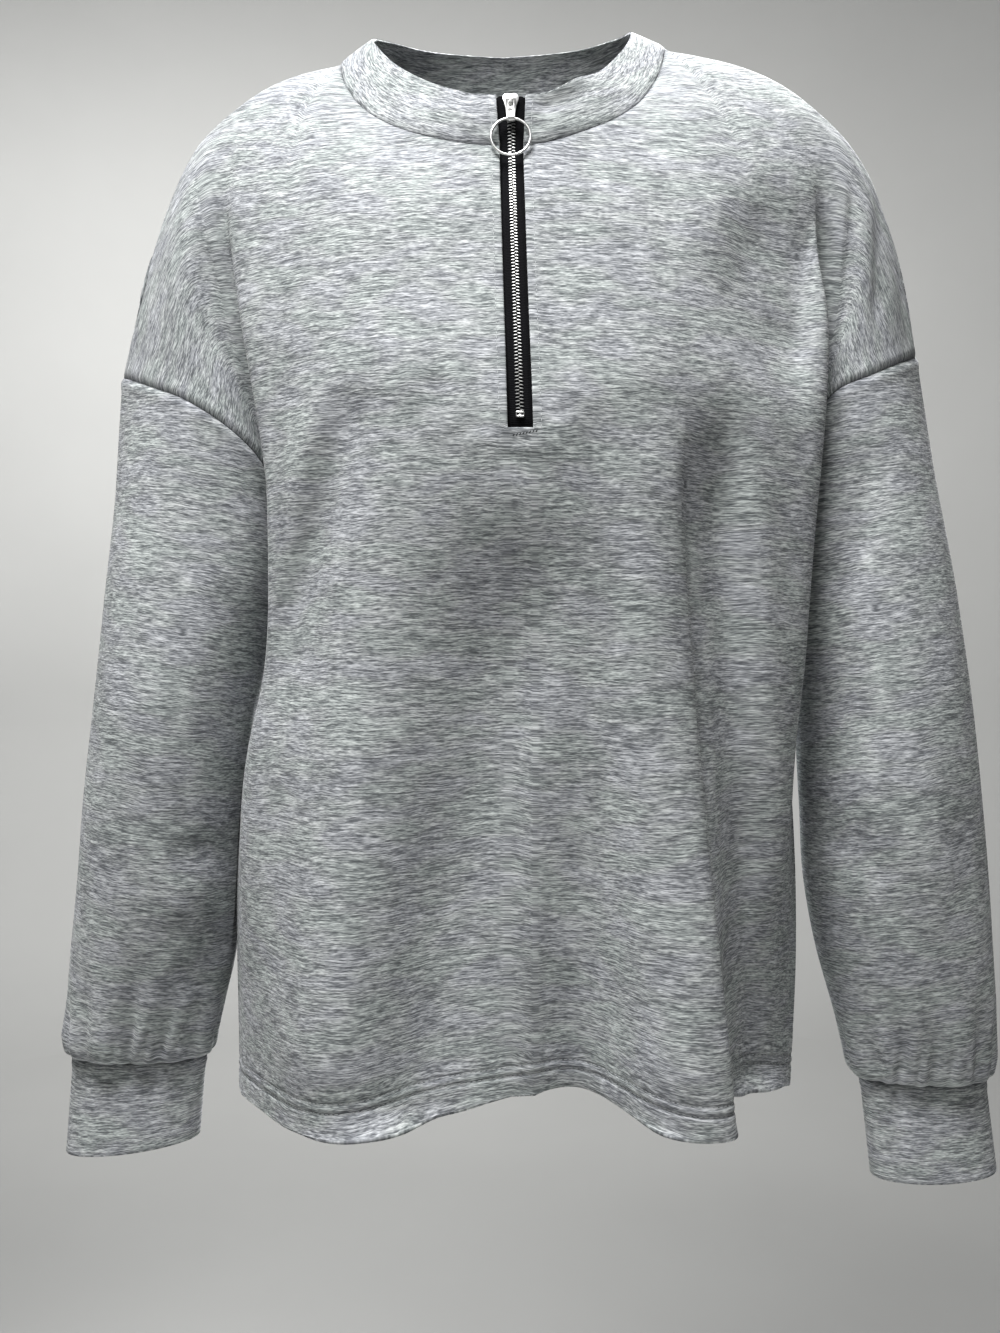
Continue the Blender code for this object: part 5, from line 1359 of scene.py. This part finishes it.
def plated_metal(name, look):
    """Plated metal with faint rubbed patches."""
    colour, roughness = look
    nodes = Nodes(name)
    rubbed = object_noise(nodes, RUBBED_SCALE, 2.0)
    rough = nodes.add("ShaderNodeMapRange", Value=rubbed)
    nodes.put(rough.inputs["To Min"], roughness - RUBBED_LESS)
    nodes.put(rough.inputs["To Max"], roughness + RUBBED_MORE)
    bump = nodes.add("ShaderNodeBump", Strength=0.08, Distance=0.0001, Height=rubbed)
    nodes.set(Base_Color=(*colour, 1.0), Metallic=1.0, Roughness=rough.outputs["Result"],
              Normal=bump.outputs["Normal"])
    return nodes.material


def pale_floor():
    """A matt pale grey with a slight unevenness."""
    nodes = Nodes("pale_floor")
    dark = tuple(FLOOR_DARKER * c for c in FLOOR_COLOUR)
    stops = ((0.3, dark), (0.7, FLOOR_COLOUR))
    nodes.set(Base_Color=ramp(nodes, object_noise(nodes, FLOOR_GRAIN, 3.0), stops), Roughness=0.9)
    return nodes.material


# ---------------------------------------------------------------- tubes
def tube_faces(rings, sides):
    """Faces of a tube through some rings of points, with both of its ends closed."""
    faces = []
    last = (rings - 1) * sides
    for low in range(0, last, sides):
        for k in range(sides):
            n = (k + 1) % sides
            faces.append([low + k, low + sides + k, low + sides + n, low + n])
    faces.append(list(range(sides)))
    faces.append([last + k for k in range(sides)][::-1])
    return faces


def shifted(faces, shift):
    """Faces whose points' numbers are raised by a shift."""
    return [[i + shift for i in face] for face in faces]


def circle_angles(count):
    """Angles once round a circle."""
    return [2 * math.pi * k / count for k in range(count)]


def face_outward(mesh):
    """Turns all faces of a closed mesh outward."""
    fixer = bmesh.new()
    fixer.from_mesh(mesh)
    bmesh.ops.recalc_face_normals(fixer, faces=fixer.faces)
    fixer.to_mesh(mesh)
    fixer.free()


# ---------------------------------------------------------------- stitches
STITCH_PITCH = 2.9
STITCH_LENGTH = 2.3
STITCH_RADIUS = 0.17
STITCH_SIDES = 6
STITCH_DIP = 0.35
# Along a stitch: share of its length, and how much of its radius and its dip it has there.
STITCH_FIELDS = ("share", "size", "dip")
STITCH_FORM = ((0.0, 0.25, 1), (0.12, 0.8, 0), (0.5, 1.0, 0), (0.88, 0.8, 0), (1.0, 0.25, 1))
# Bars of dark thread across the zip's lower end.
TACK_LEVEL = -259.0
TACK_PITCH = 1.75
TACK_REACH = (0.5, 14.5)
TACK_SLOPE = 0.17
TACK_RADIUS = 0.22
TACK_SIZE = (1.0, 1.5)
# Topstitching beside the slot: how far out, how far below its top and its end, and its steps.
TOP_STITCH_AWAY = 4.6
TOP_STITCH_BELOW = 2.0
TOP_STITCH_STEP = 3.0
# A place on the front is read from this many points, with this much added to each square away.
NEAREST = 4
NEAREST_SOFTNESS = 0.05
FRONT_GRIDS = (("front", "right"), ("front", "left"), "strip", "collar")
# The grids once round the hem: which way along each, and the row of the panels that it starts at.
HEM_GRIDS = ((("front", "right"), -1, 0), ("strip", 1, SLOT_END_ROW), (("front", "left"), 1, 0),
             (("back", "left"), -1, 0), (("back", "right"), 1, 0))


def stitch_run(path, normals, closed=False):
    """Short rounded threads laid end to end along a path, dipping into the cloth at their ends."""
    if closed:
        path = np.concatenate([path, path[:1]])
        normals = np.concatenate([normals, normals[:1]])
    along = path_lengths(path)
    count = int(along[-1] / STITCH_PITCH)
    shares = column(STITCH_FORM, STITCH_FIELDS, "share")
    stitches = []
    for start in np.arange(count) * (along[-1] / count):
        middle = read_path(start + shares * STITCH_LENGTH, along, path)
        stitches.append((middle, unit(read_path(start + STITCH_LENGTH / 2, along, normals))))
    return stitches


def stitch_mesh(stitches, radius=STITCH_RADIUS):
    """All stitches as one set of points and faces."""
    sizes = column(STITCH_FORM, STITCH_FIELDS, "size")
    lifts = -STITCH_DIP * column(STITCH_FORM, STITCH_FIELDS, "dip")
    template = tube_faces(len(sizes), STITCH_SIDES)
    points, faces = [], []
    for middle, out in stitches:
        faces += shifted(template, len(points))
        side = np.cross(unit(middle[-1] - middle[0]), out)
        for k in range(len(sizes)):
            for turn in circle_angles(STITCH_SIDES):
                points.append(middle[k] + out * (lifts[k] + radius * sizes[k] * math.cos(turn))
                              + side * radius * sizes[k] * math.sin(turn))
    return np.array(points), faces


def hem_path(cloth, normals, height):
    """Points and normals once round the hem at a height above its edge."""
    row = HEM_TOP_ROW + HEM_ROWS - height
    low = int(row)
    share = row - low
    places, outs = [], []
    for key, step, first in HEM_GRIDS:
        a, b = cloth.grids[key][low - first:low - first + 2, ::step]
        places.append(cloth.points[a] * (1 - share) + cloth.points[b] * share)
        outs.append(normals[a])
    return np.concatenate(places), np.concatenate(outs)


def on_front(cloth, normals, places):
    """Points on the front's outer face at x and z places, and the normals there."""
    members = np.unique(np.concatenate([cloth.grids[key].ravel() for key in FRONT_GRIDS]))
    members = members[cloth.points[members, 1] < 0]
    flat = cloth.points[members][:, (0, 2)]
    found, outs = [], []
    for place in places:
        away = ((flat - place) ** 2).sum(axis=1)
        near = np.argsort(away)[:NEAREST]
        weight = 1 / (away[near] + NEAREST_SOFTNESS)
        weight /= weight.sum()
        found.append((place[0], weight @ cloth.points[members[near], 1], place[1]))
        outs.append(weight @ normals[members[near]])
    return np.array(found), np.array(outs)


def top_stitch_path():
    """x and z places beside the slot: down the right side, then up the left side."""
    levels = np.arange(ZIP_TOP_LEVEL - TOP_STITCH_BELOW, ZIP_END_LEVEL - TOP_STITCH_BELOW,
                       -TOP_STITCH_STEP)
    values = zip_values(levels)
    away = values[:, 2] + TOP_STITCH_AWAY
    right, left = [np.stack([values[:, 1] + sign * away, levels], axis=1) for sign in (-1, 1)]
    return right, left[::-1]


def make_stitches(cloth, thread, dark):
    """Hem cover stitch, topstitching beside the zip and the tacks below it."""
    normals = cloth.normals()
    runs = []
    for line in NEEDLE_LINES:
        runs += stitch_run(*hem_path(cloth, normals, line), closed=True)
    for side in top_stitch_path():
        runs += stitch_run(*on_front(cloth, normals, side))
    stitches = mesh_object("stitches", *stitch_mesh(runs), thread)
    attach(stitches, "garment")
    places = [(x, TACK_LEVEL + TACK_SLOPE * x) for x in np.arange(*TACK_REACH, TACK_PITCH)]
    lower, outs = on_front(cloth, normals, places)
    upper, _ = on_front(cloth, normals, [(x + TACK_SIZE[0], z + TACK_SIZE[1]) for x, z in places])
    shares = column(STITCH_FORM, STITCH_FIELDS, "share")[:, None]
    tacks = [(a + (b - a) * shares, unit(out)) for a, b, out in zip(lower, upper, outs)]
    tack = mesh_object("tack_stitches", *stitch_mesh(tacks, TACK_RADIUS), dark)
    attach(tack, "garment")


# ---------------------------------------------------------------- zip
TAPE_ROWS = 104
PATH_STEP = 0.5
# How far below a level the zip's direction is read.
FRAME_STEP = 2.0
# Columns of the tape's flat middle, as shares of the way from its woven edge to its end.
TAPE_COLUMNS = (0.0, 0.22, 0.45, 0.7, 0.9, 1.0)
TOOTH_PITCH = 2.0
TOOTH_START = 10.5
TOOTH_END_ROOM = 0.6
TOOTH_SLANT = math.radians(9.0)
# Half of a tooth seen from outside: across from the zip's middle, and along it.
TOOTH_OUTLINE = ((-0.3, 0.0), (0.2, -0.36), (1.1, -0.4), (2.05, -0.36), (2.35, 0.0),
                 (2.05, 0.36), (1.1, 0.4), (0.2, 0.36))
# Heights above the middle of the tape, with how far the outline draws in at each.
TOOTH_LEVELS = ((-0.6, 0.0), (0.62, 0.0), (0.95, 0.72))
TOOTH_CENTRE = np.array((1.0, 0.0))
TOOTH_DRAW = 0.45
TOOTH_SHARP = 38
RING_STEPS = 120
RING_SIDES = 16
RING_GAP = math.radians(1.2)
RING_GAP_PLACE = math.radians(-79.0)
RING_WIRE = 0.8
RING_SHARP = 50
STOP_HOLE_RADIUS = 0.72
STOP_HOLE_PLACE = 1.12
STOP_HOLE_DEPTH = 3.0
HOLE_SIDES = 16
HOLE_MOUTH = 2.0
# Cast metal: how far its sharp edges are rounded, from what angle, and what counts as flat.
METAL_BEVEL = 0.28
STOP_BEVEL = 0.35
BEVEL_FROM = math.radians(35)
FLAT_ANGLE = math.radians(2)
METAL_SHARP = math.radians(40)
SIDEWAYS = np.array((1.0, 0.0, 0.0))


def zip_frame(level):
    """A point of the zip's middle on the cloth's outer surface, and its down and out directions."""
    depth, middle, _ = zip_values(level)[0]
    below = zip_values(level - FRAME_STEP)[0]
    down = unit(np.array((0.0, depth - below[0], -FRAME_STEP)))
    out = np.array((0.0, down[2], -down[1]))
    return np.array((middle, -depth, level)), down, out


def tape_rows(name):
    """Outer face of one half of the zip's tape, from its top down."""
    sign = SIDES[name]["sign"]
    top = ZIP_TOP_LEVEL - TAPE_START
    under = COLLAR_WALL + TAPE_CLEARANCE
    rows = []
    for level in np.linspace(top, ZIP_END_LEVEL - TAPE_TUCK, TAPE_ROWS + 1):
        point, _, out = zip_frame(level)
        slot_half = zip_values(level)[0][2]
        inner = TAPE_APART * np.clip(1 - (top - level) / TAPE_APART_LENGTH, 0, 1)
        outer = slot_half + TAPE_MIDDLE_END
        up = (level - ZIP_END_LEVEL - TAPE_RISE_FROM) / TAPE_RISE_LENGTH
        middle_depth = under - TAPE_RISE * smooth_step(up)
        section = [(inner + (outer - inner) * share, middle_depth) for share in TAPE_COLUMNS]
        section += [(slot_half + across, under + depth) for across, depth in TAPE_TAIL_COLUMNS]
        section.append((TAPE_OUTER, under + TAPE_OUTER_DEPTH))
        rows.append([point + np.array((sign * across, 0, 0)) - out * depth
                     for across, depth in section])
    return np.array(rows)


def make_tapes(finish):
    """Both halves of the tape as thin cloth in place of their solids."""
    for name in SIDES:
        piece = "zip_tape_" + name
        cloth = Cloth()
        grid = tape_rows(name)
        flat = np.stack([lengths(grid, 1), -lengths(grid, 0)], axis=2)
        cloth.add(piece, grid, flat, lambda at: np.array((0.0, -1.0, 0.0)), TAPE_WALL)
        cloth.finish()
        cloth.shade = np.zeros(len(cloth.points))
        points, faces, uvs, _ = cloth_shell(cloth, piece, cloth.normals())
        tape = mesh_object(piece + "_cloth", points, faces, finish, uvs)
        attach(tape, "garment")
        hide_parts(piece)


def copies_at(template, faces, frames):
    """One mesh's points and faces repeated in each frame of point, across, down and out."""
    points = [point + template[:, :1] * across + template[:, 1:2] * down + template[:, 2:] * out
              for point, across, down, out in frames]
    all_faces = []
    for k in range(len(frames)):
        all_faces += shifted(faces, k * len(template))
    return np.concatenate(points), all_faces


def tooth_shape():
    """Points of one tooth, across, down and out of the tape, and its faces."""
    points = []
    for height, drawn in TOOTH_LEVELS:
        for corner in np.array(TOOTH_OUTLINE):
            across, along = TOOTH_CENTRE + (corner - TOOTH_CENTRE) * (1 - TOOTH_DRAW * drawn)
            slant = math.tan(TOOTH_SLANT) * (across - TOOTH_CENTRE[0])
            points.append((across, along + slant, height))
    return np.array(points), tube_faces(len(TOOTH_LEVELS), len(TOOTH_OUTLINE))


def teeth_frames():
    """Where each tooth sits: its frame on either half, half a pitch apart."""
    levels = np.arange(ZIP_TOP_LEVEL, STOP_LEVEL, -PATH_STEP)
    values = zip_values(levels)
    along = path_lengths(np.stack([values[:, 1], -values[:, 0], levels], axis=1))
    last = along[-1] - STOP_HALF_LENGTH - TOOTH_END_ROOM
    sink = COLLAR_WALL + TAPE_CLEARANCE - TAPE_RISE + TAPE_WALL / 2
    frames = {}
    for name, shift in (("right", 0.0), ("left", TOOTH_PITCH / 2)):
        frames[name] = []
        for place in np.arange(TOOTH_START + shift, last, TOOTH_PITCH):
            point, down, out = zip_frame(np.interp(place, along, levels))
            across = SIDES[name]["sign"] * SIDEWAYS
            frames[name].append((point - out * sink, across, down, out))
    return frames


def make_teeth(finish):
    """Every tooth of the closed zip in one mesh."""
    template, faces = tooth_shape()
    points, all_faces = [], []
    for name, frames in teeth_frames().items():
        side_points, side_faces = copies_at(template, faces, frames)
        if SIDES[name]["sign"] > 0:
            side_faces = [face[::-1] for face in side_faces]
        all_faces += shifted(side_faces, len(points))
        points += side_points.tolist()
    teeth = mesh_object("zip_teeth", points, all_faces, finish, sharp=TOOTH_SHARP)
    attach(teeth, "garment")


def node_points(node):
    """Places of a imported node's points, in millimetres, and the middle of their box."""
    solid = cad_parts[node]
    points = np.array([solid.matrix_world @ vertex.co for vertex in solid.data.vertices]) / MM
    return points, (points.min(axis=0) + points.max(axis=0)) / 2


def softened(node, name, finish, bevel):
    """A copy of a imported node's mesh with its sharp edges rounded off."""
    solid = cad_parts[node]
    mesh = bmesh.new()
    mesh.from_mesh(solid.data)
    mesh.transform(solid.matrix_world)
    bmesh.ops.remove_doubles(mesh, verts=mesh.verts, dist=1e-6)
    bmesh.ops.dissolve_limit(mesh, angle_limit=FLAT_ANGLE, verts=mesh.verts, edges=mesh.edges)
    sharp = [edge for edge in mesh.edges
             if edge.is_manifold and edge.calc_face_angle(0.0) > BEVEL_FROM]
    bmesh.ops.bevel(mesh, geom=sharp, offset=bevel * MM, segments=2, profile=0.6,
                    affect="EDGES", clamp_overlap=True)
    data = bpy.data.meshes.new(name)
    mesh.to_mesh(data)
    mesh.free()
    made = bpy.data.objects.new(name, data)
    bpy.context.scene.collection.objects.link(made)
    data.materials.append(finish)
    data.shade_smooth()
    data.set_sharp_from_angle(angle=METAL_SHARP)
    return made


def drilled(made, frames, radius, depth):
    """Bores round holes into an object: each frame gives a hole's mouth and the way out of it."""
    template = np.array([(radius * math.cos(turn), radius * math.sin(turn), height)
                         for height in (-depth, HOLE_MOUTH) for turn in circle_angles(HOLE_SIDES)])
    points, faces = copies_at(template, tube_faces(2, HOLE_SIDES), frames)
    drill = mesh_object("drill", points, faces, made.data.materials[0])
    face_outward(drill.data)
    cutter = made.modifiers.new("holes", "BOOLEAN")
    cutter.object = drill
    cutter.operation = "DIFFERENCE"
    cutter.solver = "EXACT"
    depsgraph = bpy.context.evaluated_depsgraph_get()
    cut = bpy.data.meshes.new_from_object(made.evaluated_get(depsgraph))
    made.modifiers.clear()
    made.data = cut
    bpy.data.objects.remove(drill)


def make_stop(finish):
    """The bottom stop with the two holes in its face."""
    stop = softened("zip_stop", "zip_stop_metal", finish, STOP_BEVEL)
    _, down, out = zip_frame(STOP_LEVEL)
    solid, middle = node_points("zip_stop")
    mouth = middle + out * ((solid - middle) @ out).max()
    frames = [(mouth + SIDEWAYS * side * STOP_HOLE_PLACE, SIDEWAYS, down, out) for side in (-1, 1)]
    drilled(stop, frames, STOP_HOLE_RADIUS, STOP_HOLE_DEPTH)
    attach(stop, "garment")
    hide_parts("zip_stop")


def make_ring(finish):
    """The pull ring as round wire, with the fine joint where its ends meet."""
    solid, middle = node_points("pull_ring")
    face = np.linalg.svd(solid - middle)[2][2]
    up = np.cross(SIDEWAYS, face)
    up *= np.sign(up[2])
    side = unit(SIDEWAYS - face * (SIDEWAYS @ face))
    across = (solid - middle) @ np.stack([side, up], axis=1)
    radius = np.linalg.norm(across, axis=1).max() - RING_WIRE
    points = []
    for k in range(RING_STEPS + 1):
        turn = RING_GAP_PLACE + RING_GAP / 2 + (2 * math.pi - RING_GAP) * k / RING_STEPS
        radial = side * math.cos(turn) + up * math.sin(turn)
        for tilt in circle_angles(RING_SIDES):
            points.append(middle + radial * (radius + RING_WIRE * math.cos(tilt))
                          + face * RING_WIRE * math.sin(tilt))
    faces = tube_faces(RING_STEPS + 1, RING_SIDES)
    ring = mesh_object("pull_ring_wire", points, faces, finish, sharp=RING_SHARP)
    face_outward(ring.data)
    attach(ring, "pull_ring")
    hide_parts("pull_ring")


def make_zip(tape, metal):
    """Tapes, teeth, slider, link, ring and stop."""
    make_tapes(tape)
    make_teeth(plated_metal("tooth_metal", TOOTH_LOOK))
    make_stop(metal)
    make_ring(metal)
    for node, body in (("zip_slider", "garment"), ("pull_link", "pull_link")):
        made = softened(node, node + "_metal", metal, METAL_BEVEL)
        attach(made, body)
        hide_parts(node)


# ---------------------------------------------------------------- camera, floor and light
CAMERA_PLACE = (-0.0063, -0.787, -0.382)
FOCAL_PIXELS = 1250.0
IMAGE_HEIGHT = 1333.0
SENSOR_HEIGHT = 24.0
FLOOR_LEVEL = -1.15
ROOM_RADIUS = 2.6
ROOM_TURN = 0.7
ROOM_TURN_STEPS = 16
ROOM_TOP = 1.9
ROOM_SIDES = 96
# Below 1 it deepens the darker tones, as the camera of a bright room does.
CONTRAST_GAMMA = 0.85
# Soft square lights: place, aim, size in metres, watts, and spread in degrees.
LIGHTS = {
    "ceiling_light": ((-0.36, -0.78, 1.50), (0.0, 0.0, -0.35), 0.85, 78.0, 180),
    "front_fill": ((-1.8, -1.4, 0.3), (0.0, 0.0, -0.4), 1.2, 1.0, 180),
    "back_light": ((0.45, 1.30, 1.30), (0.0, 0.0, -0.35), 0.9, 18.0, 50),
    "wall_light": ((-0.5, 0.9, 0.7), (-0.2, 2.6, 0.0), 1.3, 42.0, 150),
}
SKY_COLOUR = (0.93, 0.96, 1.0, 1.0)
SKY_STRENGTH = 0.08


def make_camera():
    """Level with the lower chest and square to the front, at the distance that it was seen from."""
    camera = bpy.data.objects.new("camera", bpy.data.cameras.new("camera"))
    bpy.context.scene.collection.objects.link(camera)
    camera.data.sensor_fit = "VERTICAL"
    camera.data.sensor_height = SENSOR_HEIGHT
    camera.data.lens = SENSOR_HEIGHT * FOCAL_PIXELS / IMAGE_HEIGHT
    camera.data.clip_start = 0.02
    camera.location = CAMERA_PLACE
    camera.rotation_euler = (math.pi / 2, 0.0, 0.0)
    bpy.context.scene.camera = camera


def make_room():
    """A pale floor that turns up into a round wall, open above."""
    profile = [(0.0, FLOOR_LEVEL), (ROOM_RADIUS - ROOM_TURN, FLOOR_LEVEL)]
    for k in range(1, ROOM_TURN_STEPS + 1):
        turn = math.pi / 2 * k / ROOM_TURN_STEPS
        profile.append((ROOM_RADIUS - ROOM_TURN + ROOM_TURN * math.sin(turn),
                        FLOOR_LEVEL + ROOM_TURN * (1 - math.cos(turn))))
    profile.append((ROOM_RADIUS, ROOM_TOP))
    points = [(0.0, 0.0, FLOOR_LEVEL)]
    faces = []
    for r, (radius, level) in enumerate(profile[1:]):
        here = 1 + r * ROOM_SIDES
        below = here - ROOM_SIDES
        for k, turn in enumerate(circle_angles(ROOM_SIDES)):
            points.append((radius * math.cos(turn), radius * math.sin(turn), level))
            n = (k + 1) % ROOM_SIDES
            if r == 0:
                faces.append((0, here + k, here + n))
            else:
                faces.append((below + k, below + n, here + n, here + k))
    room = mesh_object("floor_and_wall", np.array(points) / MM, faces, pale_floor())


def area_light(name, place, aim, size, power, spread):
    """A soft square light that the camera doesn't see."""
    light = bpy.data.objects.new(name, bpy.data.lights.new(name, "AREA"))
    light.data.size = size
    light.data.energy = power
    light.data.spread = math.radians(spread)
    light.location = place
    light.rotation_euler = (Vector(aim) - Vector(place)).to_track_quat("-Z", "Y").to_euler()
    light.visible_camera = False
    bpy.context.scene.collection.objects.link(light)


def make_light():
    """Soft light from above and in front, a little from the wearer's right."""
    for name, values in LIGHTS.items():
        area_light(name, *values)
    world = bpy.data.worlds.new("soft_room")
    world.use_nodes = True
    background = world.node_tree.nodes["Background"]
    background.inputs["Color"].default_value = SKY_COLOUR
    background.inputs["Strength"].default_value = SKY_STRENGTH
    bpy.context.scene.world = world
    bpy.context.scene.view_settings.view_transform = "Standard"
    bpy.context.scene.view_settings.gamma = CONTRAST_GAMMA


def main():
    """Camera, cloth, stitches, zip, room and light."""
    make_camera()
    jersey = heather_jersey()
    tape = black_tape()
    metal = plated_metal("silver_metal", METAL_LOOK)
    cloth = build_cloth()
    dress_cloth(cloth)
    make_cloth(cloth, jersey)
    make_stitches(cloth, jersey, tape)
    make_zip(tape, metal)
    make_room()
    make_light()
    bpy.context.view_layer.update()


main()
